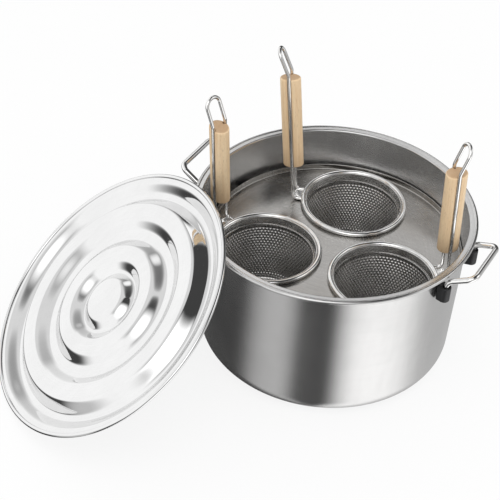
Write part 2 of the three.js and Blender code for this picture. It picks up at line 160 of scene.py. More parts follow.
class BasketSizes(bpy.types.PropertyGroup):
    """Sizes of one basket, measured from the middle of its ring."""

    ring_radius: length("Ring radius", "Outside of the ring", 0.0625)
    ring_wire: length("Ring wire", "Diameter of the ring's wire", 0.0055)
    collar_radius: length("Collar radius", "Outside of the collar", 0.0567)
    collar_sheet: length("Collar sheet", "Thickness of the collar", 0.001)
    collar_rise: length("Collar rise", "Top of the collar above the ring's middle", 0.001)
    collar_drop: length("Collar drop", "Foot of the collar below the ring's middle", 0.012)
    bowl_radius: length("Bowl radius", "Middle of the bowl's sheet at its top", 0.0538)
    bowl_top: length("Bowl top", "Top of the bowl below the ring's middle", 0.009)
    bowl_taper: length("Bowl taper", "How much narrower the bowl is where its bottom starts", 0.0074)
    bowl_bottom: length("Bowl bottom", "Height of the round bottom", 0.030)
    bowl_sheet: length("Bowl sheet", "Thickness of the bowl", 0.0007)
    depth: length("Depth", "From the ring's middle to the lowest point", 0.100)
    holes: IntProperty(
        name="Holes", description="Holes round the side of the bowl, a multiple of four", default=80
    )
    hole_size: share("Hole size", "Radius of a hole as a share of the distance to the next", 0.28)
    hole_draw: length("Hole draw", "How far the sheet is drawn outwards round a hole", 0.0006)
    wire: length("Handle wire", "Diameter of the handle's wire", 0.004)
    wire_span: length("Wire span", "Between the middles of the two wires", 0.0185)
    wire_bend: length("Wire bend", "Radius of the bend at the ring", 0.006)
    wire_standoff: length("Wire standoff", "From the outside of the ring to the upright wires", 0.0085)
    wire_rise: length("Wire rise", "Bare wire below the grip", 0.038)
    loop_lift: length("Loop lift", "From the top of the grip to the bend of the loop", 0.004)
    loop_length: length("Loop length", "Length of the hanging loop", 0.032)
    loop_angle: angle("Loop angle", "How far the loop bends outwards", 19.0)
    loop_bend: length("Loop bend", "Radius of the bend at the foot of the loop", 0.010)
    grip_length: length("Grip length", "Length of the wooden grip", 0.113)
    grip_depth: length("Grip depth", "Thickness of the grip away from the basket", 0.024)
    grip_width: length("Grip width", "Thickness of the grip from wire to wire", 0.0195)
    grip_round: length("Grip rounding", "Radius of the grip's end edges", 0.0025)
    bridge: length("Bridge", "Thickness of the small plate between the wires", 0.0012)


class LidSizes(bpy.types.PropertyGroup):
    """Sizes of the stamped lid."""

    radius: length("Radius", "Outside of the rolled edge", 0.1612)
    sheet: length("Sheet", "Thickness of the steel", 0.0012)
    roll: length("Roll", "Radius of the rolled edge", 0.0025)
    button: length("Button", "Radius of the flat in the middle", 0.025)
    button_height: length("Button height", "Height of the flat in the middle over the edge", 0.005)
    plug: length("Plug", "Outside of the sunk ring", 0.1395)
    plug_slope: length("Plug slope", "Width of the slope from the sunk ring to the flat edge", 0.012)
    softness: length("Softness", "How far each stamped bend is spread", 0.0016)


class Finishes(bpy.types.PropertyGroup):
    """Colours and gloss of the surfaces."""

    satin_steel: colour("Satin steel", "Colour of the pot", (0.695, 0.69, 0.685))
    satin_roughness: share("Satin roughness", "Roughness of the pot", 0.25)
    plate_steel: colour("Plate steel", "Colour of the plate", (0.45, 0.44, 0.425))
    plate_stain: colour("Plate stain", "Colour of the plate's brownish streaks", (0.33, 0.31, 0.285))
    plate_roughness: share("Plate roughness", "Roughness of the plate", 0.25)
    bright_steel: colour("Bright steel", "Colour of rings, wires and bars", (0.93, 0.925, 0.915))
    bright_roughness: share("Bright roughness", "Roughness of rings, wires and bars", 0.12)
    mirror_steel: colour("Mirror steel", "Colour of the lid", (0.82, 0.82, 0.82))
    mirror_roughness: share("Mirror roughness", "Roughness of the lid", 0.06)
    bowl_steel: colour("Bowl steel", "Colour of the baskets' bowls", (0.62, 0.61, 0.595))
    bowl_roughness: share("Bowl roughness", "Roughness of the baskets' bowls", 0.22)
    plastic: colour("Plastic", "Colour of the sockets", (0.012, 0.012, 0.013))
    beech_light: colour("Light beech", "Colour of the pale wood", (0.88, 0.68, 0.44))
    beech_dark: colour("Dark beech", "Colour of the darker growth lines", (0.76, 0.53, 0.31))
    # The end grain's colour, which is also painted into the grips' grooves as shade
    beech_end_and_groove_shade: colour("Beech end", "Colour of the end grain", (0.40, 0.25, 0.14))


class StageSettings(bpy.types.PropertyGroup):
    """The floor, the lamp and the room's light."""

    floor: colour("Floor", "Colour of the floor", (0.90, 0.90, 0.90))
    lamp: FloatProperty(name="Lamp", description="Strength of the lamp overhead", default=12.0, unit="POWER")
    room: FloatProperty(name="Room", description="Strength of the light from the room", default=1.0, min=0.0)


class PastaPot(bpy.types.PropertyGroup):
    """All sizes and finishes of the pasta pot."""

    pot: PointerProperty(type=PotSizes)
    handle: PointerProperty(type=HandleSizes)
    plate: PointerProperty(type=PlateSizes)
    basket: PointerProperty(type=BasketSizes)
    lid: PointerProperty(type=LidSizes)
    finish: PointerProperty(type=Finishes)
    stage: PointerProperty(type=StageSettings)


# Surfaces


class Surface:
    """Points, faces, each face corner's place on a flat map, and each point's place before it was moved."""

    def __init__(self, points, faces, maps=None, local=None):
        self.points = points
        self.faces = faces
        self.maps = maps if maps is not None else [points[block][..., :2] for block in faces]
        self.local = points if local is None else local

    def __add__(self, other):
        faces = self.faces + [block + len(self.points) for block in other.faces]
        points = np.concatenate([self.points, other.points])
        return Surface(points, faces, self.maps + other.maps, np.concatenate([self.local, other.local]))

    def placed(self, turn, move):
        """The same surface turned by a 3 by 3 matrix and then moved; local places stay as they were."""
        points = self.points @ np.asarray(turn).T + np.asarray(move)
        return Surface(points, self.faces, self.maps, self.local)

    def welded(self):
        """The same surface with points closer than a micrometre made one."""
        micrometres = np.round(self.points, 6)
        _, first, back = np.unique(micrometres, axis=0, return_index=True, return_inverse=True)
        faces = [back.reshape(-1)[block] for block in self.faces]
        return Surface(self.points[first], faces, self.maps, self.local[first])

    def mesh(self, name, sharp):
        """A mesh whose faces point outwards, smooth except across bends sharper than an angle."""
        corners = np.concatenate([block.reshape(-1) for block in self.faces])
        counts = np.concatenate([np.full(len(block), block.shape[1]) for block in self.faces])
        maps = np.concatenate([block.reshape(-1, 2) for block in self.maps])
        starts = np.concatenate([[0], np.cumsum(counts)[:-1]])
        if self.volume() < 0:
            # Turning a face round: its first corner stays and the others change order
            ends = np.repeat(starts + counts, counts)
            place = np.arange(len(corners)) - np.repeat(starts, counts)
            order = np.where(place == 0, np.repeat(starts, counts), ends - place)
            corners, maps = corners[order], maps[order]
        mesh = bpy.data.meshes.new(name)
        mesh.vertices.add(len(self.points))
        mesh.vertices.foreach_set("co", self.points.astype(np.float32).reshape(-1))
        mesh.loops.add(len(corners))
        mesh.loops.foreach_set("vertex_index", corners.astype(np.int32))
        mesh.polygons.add(len(counts))
        mesh.polygons.foreach_set("loop_start", starts.astype(np.int32))
        mesh.update(calc_edges=True)
        mesh.uv_layers.new(name="turn").data.foreach_set("uv", maps.astype(np.float32).reshape(-1))
        local = mesh.attributes.new("local", "FLOAT_VECTOR", "POINT")
        local.data.foreach_set("vector", self.local.astype(np.float32).reshape(-1))
        mesh.shade_smooth()
        mesh.set_sharp_from_angle(angle=sharp)
        if mesh.validate():
            raise RuntimeError(f"{name} has faces that can't be used")
        return mesh

    def volume(self):
        """Six times the volume inside: the sum of the boxes that the faces' corners span with the middle."""
        middle = self.points.mean(0)
        total = 0.0
        for block in self.faces:
            corner = self.points[block] - middle
            for k in range(1, block.shape[1] - 1):
                total += np.einsum("ij,ij", corner[:, 0], np.cross(corner[:, k], corner[:, k + 1]))
        return total


def grid_quads(rows, columns, wrap_rows=False):
    """Corners of the quads of a grid whose rows are closed, as (row, column) counts that run past a seam."""
    row = np.arange(rows if wrap_rows else rows - 1)
    r, c = (part.reshape(-1) for part in np.meshgrid(row, np.arange(columns), indexing="ij"))
    return np.stack([r, r, r + 1, r + 1], -1), np.stack([c, c + 1, c + 1, c], -1)


def arc(centre, radius, start, end, steps):
    """Points of an arc in the (r, z) plane, angles in degrees, from start to end."""
    turn = np.radians(np.linspace(start, end, steps + 1))
    return np.stack([centre[0] + radius * np.cos(turn), centre[1] + radius * np.sin(turn)], -1)


def path_length(points):
    """Length of a line of points up to each of them."""
    return np.concatenate([[0.0], np.cumsum(np.linalg.norm(np.diff(points, axis=0), axis=1))])


def round_points(r, turn, z):
    """Points at a distance from the Z axis, a turn about it and a height."""
    return np.stack(np.broadcast_arrays(r * np.cos(turn), r * np.sin(turn), z), -1)


def closed_rows(rows):
    """Rows of points, each closed on itself, joined one to the next and open at both ends."""
    count, columns = rows.shape[:2]
    row, column = grid_quads(count, columns)
    return Surface(rows.reshape(-1, 3), [row * columns + column % columns])


def lathe(profile, segments, closed=False, swell=None):
    """A profile (r, z) turned about Z: a point lies at (r cos t, r sin t, z) for every turn t. A profile
    that starts or ends on the axis gets one pole there. swell(t, i) adds an offset (dr, dz) for turn t and
    profile point i. The flat map holds the share of the turn and the length along the profile.
    """
    axis_width = 1e-9
    turn = np.linspace(0, 2 * pi, segments, endpoint=False)
    r = np.repeat(profile[:, :1], segments, 1)
    z = np.repeat(profile[:, 1:], segments, 1)
    if swell is not None:
        dr, dz = swell(turn[None, :], np.arange(len(profile))[:, None])
        r, z = r + dr, z + dz
    points = round_points(r, turn, z).reshape(-1, 3)
    rows = len(profile)
    along = path_length(np.concatenate([profile, profile[:1]]))
    row, column = grid_quads(rows, segments, closed)
    quads = (row % rows) * segments + column % segments
    maps = np.stack([column / segments, along[row]], -1)
    on_axis = np.all(r < axis_width, axis=1)
    keep = ~np.any(on_axis[row % rows], axis=1)
    faces, flat = [quads[keep]], [maps[keep]]
    # A pole is the first point of its row, and the quads beside it lose the doubled corner
    for pole in np.flatnonzero(on_axis):
        beside = np.any(row % rows == pole, axis=1)
        first = row[beside][0, 0] % rows == pole
        order = [0, 2, 3] if first else [0, 1, 2]
        triangles = quads[beside][:, order]
        triangles[:, 0 if first else 2] = pole * segments
        faces.append(triangles)
        flat.append(maps[beside][:, order])
    return trimmed(Surface(points, faces, flat))


def trimmed(surface):
    """The same surface without points that no face uses."""
    used = np.unique(np.concatenate([block.reshape(-1) for block in surface.faces]))
    renumber = np.zeros(len(surface.points), int)
    renumber[used] = np.arange(len(used))
    faces = [renumber[block] for block in surface.faces]
    return Surface(surface.points[used], faces, surface.maps, surface.local[used])


def loft(rows):
    """Closed rows of points joined one to the next; the first and the last are closed by a fan to their
    middle.
    """
    count, columns = rows.shape[:2]
    row, column = grid_quads(count, columns)
    quads = row * columns + column % columns
    ring = np.arange(columns)
    last = (count - 1) * columns
    low = np.stack([np.full(columns, count * columns), (ring + 1) % columns, ring], -1)
    high = np.stack([np.full(columns, count * columns + 1), last + ring, last + (ring + 1) % columns], -1)
    points = np.concatenate([rows.reshape(-1, 3), rows[:1].mean(1), rows[-1:].mean(1)])
    along = path_length(rows[:, 0])
    around = np.stack([ring, ring + 0.5, ring + 1], -1) / columns
    maps = [
        np.stack([column / columns, along[row]], -1),
        np.stack([around, np.zeros_like(around)], -1),
        np.stack([around, np.full_like(around, along[-1])], -1),
    ]
    return Surface(points, [quads, low, high], maps)


def bent_path(corners, radii):
    """Points and directions along straight runs whose inner corners are rounded, each by its own radius: a
    bend runs from its start along the first direction by radius times sine, and towards the second by
    radius times one minus cosine, of the angle turned so far. Points that nearly coincide are left out.
    """
    apart = 1e-5
    corners = np.asarray(corners, float)
    runs = np.diff(corners, axis=0)
    runs /= np.linalg.norm(runs, axis=1, keepdims=True)
    points, ways = [corners[:1]], [runs[:1]]
    for corner, before, after, radius in zip(corners[1:-1], runs[:-1], runs[1:], radii):
        turn = np.arccos(np.clip(before @ after, -1, 1))
        inward = after - before * cos(turn)
        inward /= np.linalg.norm(inward)
        swept = np.linspace(0, turn, BEND_STEPS + 1)[:, None]
        start = corner - before * radius * tan(turn / 2)
        points.append(start + radius * (before * np.sin(swept) + inward * (1 - np.cos(swept))))
        ways.append(before * np.cos(swept) + inward * np.sin(swept))
    points, ways = np.concatenate(points + [corners[-1:]]), np.concatenate(ways + [runs[-1:]])
    moved = np.concatenate([[True], np.linalg.norm(np.diff(points, axis=0), axis=1) > apart])
    return points[moved], ways[moved]


def tube(points, ways, radius, sides, reference):
    """A round bar: a circle of the given radius carried along the points, square to the path. The circle's
    first axis is the path's direction crossed with a reference that it never follows.
    """
    first = np.cross(ways, reference)
    first /= np.linalg.norm(first, axis=1, keepdims=True)
    second = np.cross(ways, first)
    turn = np.linspace(0, 2 * pi, sides, endpoint=False)[None, :, None]
    return loft(points[:, None] + radius * (first[:, None] * np.cos(turn) + second[:, None] * np.sin(turn)))


def turn_about_z(turn):
    """Matrix of a turn about Z."""
    return np.array([[cos(turn), -sin(turn), 0], [sin(turn), cos(turn), 0], [0, 0, 1]])


def box_middle(node):
    """Middle of a node's box."""
    low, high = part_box(node)
    return (np.array(low) + np.array(high)) / 2


def add_piece(context, name, surface, material, body, nodes, sharp=40.0):
    """Makes a surface into a finished piece that rides a body and stands for its nodes."""
    mesh = surface.mesh(name, radians(sharp))
    mesh.materials.append(material)
    piece = bpy.data.objects.new(name, mesh)
    context.scene.collection.objects.link(piece)
    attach(piece, body)
    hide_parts(*nodes)


# Shapes of the pot


def wall_inside(pot, z):
    """Inside radius of the pot's wall at a height above the bottom corner."""
    mouth = pot.rim_radius - pot.rim_width
    return mouth - pot.taper * (pot.height - z) / (pot.height - pot.corner)


def pot_profile(pot):
    """The sheet from the middle of the underside out round the bottom corner, up the wall, under the rim,
    round the rolled edge with a seam where it closes, back over the rim and down the inside to the middle
    of the floor.
    """
    floor_points, neck_steps, seam_turn = 8, 5, 14
    middle = (wall_inside(pot, pot.corner) + pot.sheet - pot.corner, pot.corner)
    top = pot.height - pot.step
    neck = (pot.rim_radius - pot.rim_width + pot.neck, top - pot.neck)
    roll = (pot.rim_radius - pot.roll, pot.height - pot.roll)
    over = 180 - degrees(asin((top - roll[1]) / pot.roll))
    under = 180 - degrees(asin((top - pot.sheet - roll[1]) / pot.roll))
    floor = np.linspace(0, middle[0], floor_points + 1)[:-1]
    flat = np.zeros_like(floor)
    seam = [(roll[0] - SEAM_DEPTH * pot.roll, top - pot.sheet)]
    return np.concatenate(
        [
            np.stack([floor, flat], -1),
            arc(middle, pot.corner, -90, 0, BEND_STEPS),
            arc(neck, pot.neck - pot.sheet, 180, 90, neck_steps),
            seam,
            arc(roll, pot.roll, under + seam_turn, over + 360, ROLL_STEPS),
            arc(neck, pot.neck, 90, 180, EDGE_STEPS),
            arc(middle, pot.corner - pot.sheet, 0, -90, BEND_STEPS),
            np.stack([floor[::-1], flat + pot.sheet], -1),
        ]
    )


def upright(pot, handle):
    """Distance of a bar's upright end from the pot's axis, and its azimuth seen from there."""
    distance = wall_inside(pot, pot.height - handle.socket_drop) + pot.sheet + handle.standoff
    return distance, asin(handle.span / 2 / distance)


def side_bar(pot, handle):
    """A round bar from one socket up, out over the rim, along the outer run and back to the other socket."""
    distance, turn = upright(pot, handle)
    half = np.array(
        [
            (distance * cos(turn), handle.span / 2, pot.height - handle.socket_drop - handle.end_depth),
            (distance * cos(turn), handle.span / 2, pot.height - handle.root_drop),
            (pot.rim_radius + handle.grasp_reach, handle.grasp_length / 2, pot.height + handle.grasp_rise),
        ]
    )
    corners = np.concatenate([half, (half * (1, -1, 1))[::-1]])
    never_followed = (1.0, 0.35, -0.8)
    return tube(*bent_path(corners, [handle.bend] * 4), handle.bar / 2, BAR_ROUND, never_followed)


def socket_block(pot, handle):
    """A block whose plan has a flat back and a round front: seen from the bar, the distance to the outline
    is that to the front circle, or a soft smaller of those to the sides and the back. The outline is
    carried up, drawn in at both ends along a quarter circle, then over the top to the bar's bore and down
    into it.
    """
    outline_points, edge_points, sharpness, never_zero = 96, 7, 14, 1e-30
    slack, chamfer = 0.0004, 0.0005
    distance, _ = upright(pot, handle)
    turn = np.linspace(0, 2 * pi, outline_points, endpoint=False)
    half = handle.socket_width / 2
    back = handle.standoff - handle.wall_gap
    centre = handle.socket_front - half
    front = centre * np.cos(turn) + np.sqrt(half**2 - (centre * np.sin(turn)) ** 2)
    side = np.abs(np.sin(turn)) / half
    rear = np.maximum(-np.cos(turn), 0) / back
    square = (side**sharpness + rear**sharpness + never_zero) ** (-1 / sharpness)
    outline = np.where(front * np.cos(turn) >= centre, front, np.minimum(square, 2 * back))
    top = pot.height - handle.socket_drop
    foot = top - handle.socket_height
    edge = handle.socket_round
    quarter = np.radians(np.linspace(0, 90, edge_points))
    inset = np.concatenate([edge * (1 - np.sin(quarter)), edge * (1 - np.cos(quarter))])
    bore = handle.bar / 2 + slack
    bore_reach = np.repeat([[bore + chamfer], [bore], [bore]], outline_points, 1)
    reach = np.concatenate([outline[None] - inset[:, None], bore_reach])
    z = np.concatenate([
        foot + edge * (1 - np.cos(quarter)),
        top - edge * (1 - np.sin(quarter)),
        [top, top - chamfer, top - handle.end_depth],
    ])
    return loft(round_points(reach, turn, z[:, None]) + np.array([distance, 0.0, 0.0]))


# Shapes of the plate


def plate_surface(plate, radius, top):
    """A flat plate with three holes and an upturned lip, about its own middle. Each third is a fan of rays
    from its hole's middle: a ray starts at the hole's edge and ends where it first meets the third's
    straight sides or the start of the lip. The rays run over the top and back under it, and the lip is a
    profile carried round the end points.
    """
    side_rays, edge_rays, steps, crowding = 40, 60, 14, 1.3
    chamfer, never_zero = 0.0004, 1e-12
    foot = top - plate.sheet
    inner = radius - plate.sheet - plate.bend
    hub, start = plate.hole_circle, plate.hole_radius
    thirds = [plate.first_hole + k * 2 * pi / 3 for k in range(3)]
    corner = atan2(inner * sin(pi / 3), inner * cos(pi / 3) - hub)
    edge = np.linspace(-corner, corner, edge_rays + 1)
    side = np.linspace(corner, pi, side_rays + 1)[1:]
    ray = np.concatenate([edge, side, -side[::-1][1:]])
    x, y = np.cos(ray), np.sin(ray)
    to_lip = -hub * x + np.sqrt((hub * x) ** 2 - hub**2 + inner**2)
    to_side = sin(pi / 3) * hub / np.maximum(np.abs(y) * cos(pi / 3) - x * sin(pi / 3), never_zero)
    end = np.minimum(to_lip, to_side)
    share_out = np.linspace(0, 1, steps)[:, None] ** crowding
    out = start + chamfer + (end - start - chamfer) * share_out
    flat = np.ones_like(out)
    hole_edge = np.full((2, len(ray)), start)
    hole_height = np.repeat([[foot + chamfer], [top - chamfer]], len(ray), 1)
    reach = np.concatenate([out[::-1], hole_edge, out])
    height = np.concatenate([flat * foot, hole_height, flat * top])
    third = closed_rows(round_points(reach, ray, height) + np.array([hub, 0.0, 0.0]))
    still = (0, 0, 0)
    first, second, last = (third.placed(turn_about_z(turn), still) for turn in thirds)
    surface = first + second + last

    # The lip, carried round the ends of the rays that reach it
    reaches_lip = slice(0, edge_rays)
    azimuth = np.arctan2(end * y, hub + end * x)[reaches_lip]
    turns = np.concatenate([azimuth + turn for turn in thirds])
    half = plate.sheet / 2
    bend = (inner, top + plate.bend)
    profile = np.concatenate(
        [
            arc(bend, plate.bend, -90, 0, EDGE_STEPS),
            arc((radius - half, top + plate.lip - half), half, 180, 0, EDGE_STEPS),
            arc(bend, plate.bend + plate.sheet, 0, -90, EDGE_STEPS),
        ]
    )
    surface += closed_rows(round_points(profile[:, :1], turns, profile[:, 1:]))
    surface.local = surface.points
    return surface.welded()


# Shapes of a basket


def basket_place(name):
    """Turn and place of a basket, from where its handle points and the middle of its ring's box."""
    return turn_about_z(radians(BASKETS[name]["azimuth"])), box_middle(f"basket_{name}_ring")


def ring_surface(basket):
    """A ring of round wire: a circle turned about the basket's axis. Where its ends are welded, a bead over
    a bell curve of the turn raises the wire's upper half and narrows the wire.
    """
    weld, reach, rise, narrowing = radians(118), 0.03, 0.0004, 0.5
    wire = basket.ring_wire / 2
    middle = basket.ring_radius - wire
    around = np.radians(np.linspace(0, 360, BAR_ROUND, endpoint=False))
    profile = np.stack([middle + wire * np.cos(around), wire * np.sin(around)], -1)

    def swell(turn, i):
        bead = rise * np.exp(-(((turn - weld) / reach) ** 2))
        return -narrowing * bead * np.cos(around)[i], bead * np.maximum(np.sin(around), 0.0)[i]

    return lathe(profile, BASKET_ROUND, closed=True, swell=swell)


def collar_surface(basket):
    """A smooth strip turned about the basket's axis, with round edges: it narrows from the ring towards its
    foot along a curve, the share of its height to a power.
    """
    gap, curve, height_points = 0.0002, 1.8, 14
    half = basket.collar_sheet / 2
    top, foot = basket.collar_rise - half, -basket.collar_drop + half
    top_middle = basket.collar_radius - half
    foot_middle = basket.bowl_radius + basket.bowl_sheet / 2 + gap + half
    up = np.linspace(0, 1, height_points)[1:-1]
    middle = foot_middle + (top_middle - foot_middle) * up**curve
    z = foot + (top - foot) * up
    profile = np.concatenate(
        [
            arc((foot_middle, foot), half, -180, 0, EDGE_STEPS),
            np.stack([middle + half, z], -1),
            arc((top_middle, top), half, 0, 180, EDGE_STEPS),
            np.stack([middle - half, z], -1)[::-1],
        ]
    )
    return lathe(profile, BASKET_ROUND, closed=True)


def bowl_line(basket):
    """The bowl's side and round bottom as points (r, z), their outward normals, and the length so far."""
    side_points, bottom_points = 200, 400
    top, bend = -basket.bowl_top, basket.bowl_bottom - basket.depth
    foot = basket.bowl_radius - basket.bowl_taper
    side = np.linspace((basket.bowl_radius, top), (foot, bend), side_points)
    turn = np.linspace(0, pi / 2, bottom_points)[1:]
    deep = basket.bowl_bottom - basket.bowl_sheet
    bottom = np.stack([foot * np.cos(turn), bend - deep * np.sin(turn)], -1)
    line = np.concatenate([side, bottom])
    way = np.gradient(line, axis=0)
    way /= np.linalg.norm(way, axis=1, keepdims=True)
    return line, np.stack([-way[:, 1], way[:, 0]], -1), path_length(line)


class Bowl:
    """A bowl of sheet with round holes in staggered rows. A place on it is a turn about the axis, the
    length along the bowl's line and an offset along the outward normal. A row lies one distance between two
    holes, times the sine of 60 degrees, below the row before, so that rows and holes draw together where
    the bowl narrows; so that they don't get too small there, bands farther in have fewer holes round.
    """

    # Turn and row of the points round one hole's six-sided field, in distances between holes and in rows
    FIELD_TURN = np.array([2, 2, 1, 0, -1, -2, -2, -2, -1, 0, 1, 2]) / 4
    FIELD_ROW = np.array([0, 2, 3, 4, 3, 2, 0, -2, -3, -4, -3, -2]) / 6
    CORNERS = len(FIELD_TURN)
    # Rows from the middle of a hole to the zigzag side of its field, at four points from one hole to the next
    ZIGZAG = np.array([4, 3, 2, 3]) / 6
    # Share of the holes round, and the share of the bowl's radius from which and to which each band runs
    BANDS = ((1.0, 1.0, 0.78), (0.75, 0.765, 0.56), (0.5, 0.545, 0.34), (0.25, 0.325, 0.15))
    # Height of the beads on the top edge, the angles at which the edge is cut, and how much it stands up
    BEAD = 0.0006
    OVER_EDGE = np.radians([40, 80, 120, 150])
    EDGE_STRETCH = 1.4

    def __init__(self, basket):
        self.basket = basket
        self.half = basket.bowl_sheet / 2
        self.line, self.normal, self.run = bowl_line(basket)
        never_zero = 1e-4
        middles = np.maximum((self.line[1:, 0] + self.line[:-1, 0]) / 2, never_zero)
        self.spread = np.concatenate([[0.0], np.cumsum(np.diff(self.run) / middles)])
        self.surface = None

    def points(self, turn, along, offset):
        """Points at turns about the axis, lengths along the line and offsets along the normal."""
        r, z, nr, nz = (np.interp(along, self.run, part) for part in (*self.line.T, *self.normal.T))
        return round_points(r + nr * offset, turn, z + nz * offset)

    def add(self, points, faces):
        """Adds points of any shape with blocks of faces that count through them."""
        made = Surface(points.reshape(-1, 3), faces)
        self.surface = made if self.surface is None else self.surface + made

    def strip(self, upper, lower):
        """Adds quads between two closed rows of as many points, facing outwards if the first is the upper."""
        count = len(upper)
        here = np.arange(count)
        after = (here + 1) % count
        self.add(np.concatenate([upper, lower]), [np.stack([count + here, count + after, after, here], -1)])

    def stitch(self, upper, lower):
        """Adds triangles between two closed rows of unlike numbers of points: the side from one point to
        the next of either row gets its third corner where the other row is at the middle of that side.
        """
        a, b = len(upper), len(lower)
        i, j = np.arange(a), np.arange(b)
        below = np.floor((i + 0.5) * b / a + 0.5).astype(int) % b
        above = np.floor((j + 0.5) * a / b + 0.5).astype(int) % a
        faces = np.concatenate(
            [np.stack([(i + 1) % a, i, a + below], -1), np.stack([a + j, a + (j + 1) % b, above], -1)]
        )
        self.add(np.concatenate([upper, lower]), [faces])

    def band(self, count, first, last):
        """Adds one band of holes from one length along the line to another, and returns its end rows
        outside and inside.
        """
        half, draw, size = self.half, self.basket.hole_draw, self.basket.hole_size
        row_height = sin(pi / 3) * 2 * pi / count
        start, end = np.interp([first, last], self.run, self.spread)
        rows = int((end - start) / row_height) - 1
        row_height = (end - start) / (rows + 1)

        def place(turn, row, offset):
            along = np.interp(start + (row + 1) * row_height, self.spread, self.run)
            return self.points(2 * pi * turn / count, along, offset)

        j, i = np.meshgrid(np.arange(rows), np.arange(count), indexing="ij")
        turn, row = (i + 0.5 * (j % 2)).reshape(-1, 1), j.reshape(-1, 1)
        around = np.radians(360 / self.CORNERS * np.arange(self.CORNERS))
        edge_turn, edge_row = turn + self.FIELD_TURN, row + self.FIELD_ROW
        hole_turn, hole_row = turn + size * np.cos(around), row + size * np.sin(around) / sin(pi / 3)
        rings = [
            place(edge_turn, edge_row, half),
            place(hole_turn, hole_row, half + draw),
            place(hole_turn, hole_row, draw - half),
            place(edge_turn, edge_row, -half),
        ]
        here = np.arange(rows * count * self.CORNERS).reshape(-1, self.CORNERS)
        after = np.roll(here, -1, axis=1)
        between = np.stack([here.size + here, here.size + after, after, here], -1).reshape(-1, 4)
        self.add(np.stack(rings), [between + k * here.size for k in range(len(rings) - 1)])

        # Plain strips from the first and the last row's zigzag sides to straight rows
        steps = len(self.ZIGZAG)
        column = np.arange(steps * count)
        zigzag = self.ZIGZAG[column % steps]
        last_zigzag = np.roll(zigzag, steps // 2 * ((rows - 1) % 2))
        turn = column / steps
        ends = []
        for side in (half, -half):
            top, low = place(turn, -1.0, side), place(turn, float(rows), side)
            first_row, last_row = place(turn, -zigzag, side), place(turn, rows - 1 + last_zigzag, side)
            for upper, lower in ((top, first_row), (last_row, low)):
                self.strip(*((upper, lower) if side > 0 else (lower, upper)))
            ends.append((top, low))
        return ends

    def made(self):
        """The whole bowl: its bands, plain strips between them, a round cap and a beaded top edge."""
        basket, half = self.basket, self.half
        radius = self.line[:, 0][::-1]
        before = None
        for part, first, last in self.BANDS:
            first, last = np.interp(np.array([first, last]) * basket.bowl_radius, radius, self.run[::-1])
            outside, inside = self.band(int(part * basket.holes), first, last)
            if before is None:
                self.top_edge(outside[0], inside[0])
            else:
                self.stitch(before[0], outside[0])
                self.stitch(inside[0], before[1])
            before = outside[1], inside[1]
        for row, offset, turned in ((before[0], half, False), (before[1], -half, True)):
            count = len(row)
            here = np.arange(count)
            after = (here + 1) % count
            pole = np.array([[0.0, 0.0, self.line[-1, 1] - offset]])
            order = [here, after] if turned else [after, here]
            self.add(np.concatenate([row, pole]), [np.stack([*order, np.full(count, count)], -1)])
        return self.surface.welded()

    def top_edge(self, outside, inside):
        """Adds the top edge, a half circle from the outside to the inside that swells inwards in beads."""
        count = len(outside)
        turn = 2 * pi * np.arange(count) / count
        swell = self.BEAD * (0.5 + 0.5 * np.cos(self.basket.holes * turn))
        middle, out = (outside + inside) / 2, round_points(1.0, turn, 0.0)
        rows = [outside]
        for over in self.OVER_EDGE:
            across = self.half * cos(over) - swell * max(-cos(over), 0) * self.EDGE_STRETCH
            up = np.array([0, 0, self.half * self.EDGE_STRETCH * sin(over)])
            rows.append(middle + out * across[:, None] + up)
        rows.append(inside)
        for lower, upper in zip(rows[:-1], rows[1:]):
            self.strip(upper, lower)


def handle_axes(basket, lean):
    """The handle's directions up, across and away, the loop's direction, and the root between the wires."""
    up = np.array([tan(radians(lean["out"])), tan(radians(lean["side"])), 1.0])
    up /= np.linalg.norm(up)
    across = np.array([0.0, 1.0, 0.0]) - up * up[1]
    across /= np.linalg.norm(across)
    away = np.cross(across, up)
    loop = up * cos(basket.loop_angle) + away * sin(basket.loop_angle)
    return up, across, away, loop, np.array([basket.ring_radius + basket.wire_standoff, 0.0, 0.0])


def wire_foot(basket, up):
    """Sideways distance of each wire's foot from the handle's middle plane, for wires that lean along up."""
    return basket.wire_span / 2 / sqrt(1 - up[1] ** 2)


def wire_surface(basket, lean):
    """One round wire from the ring up one side of the grip, round the hanging loop and down again."""
    into_ring, never_followed = 0.0016, (1.0, 1.0, -1.0)
    up, across, _, loop, root = handle_axes(basket, lean)
    foot = wire_foot(basket, up)
    start = sqrt(basket.ring_radius**2 - foot**2) - into_ring
    rise = basket.wire_rise + basket.grip_length + basket.loop_lift

    def half(sign):
        bend = root + across * sign * basket.wire_span / 2 + up * rise
        feet = [(start, sign * foot, 0.0), (root[0], sign * foot, 0.0)]
        return feet + [bend, bend + loop * basket.loop_length]

    radii = [basket.wire_bend, basket.loop_bend, basket.wire_span / 2]
    path = bent_path(half(1) + half(-1)[::-1], radii + radii[::-1])
    return tube(*path, basket.wire / 2, WIRE_ROUND, never_followed)


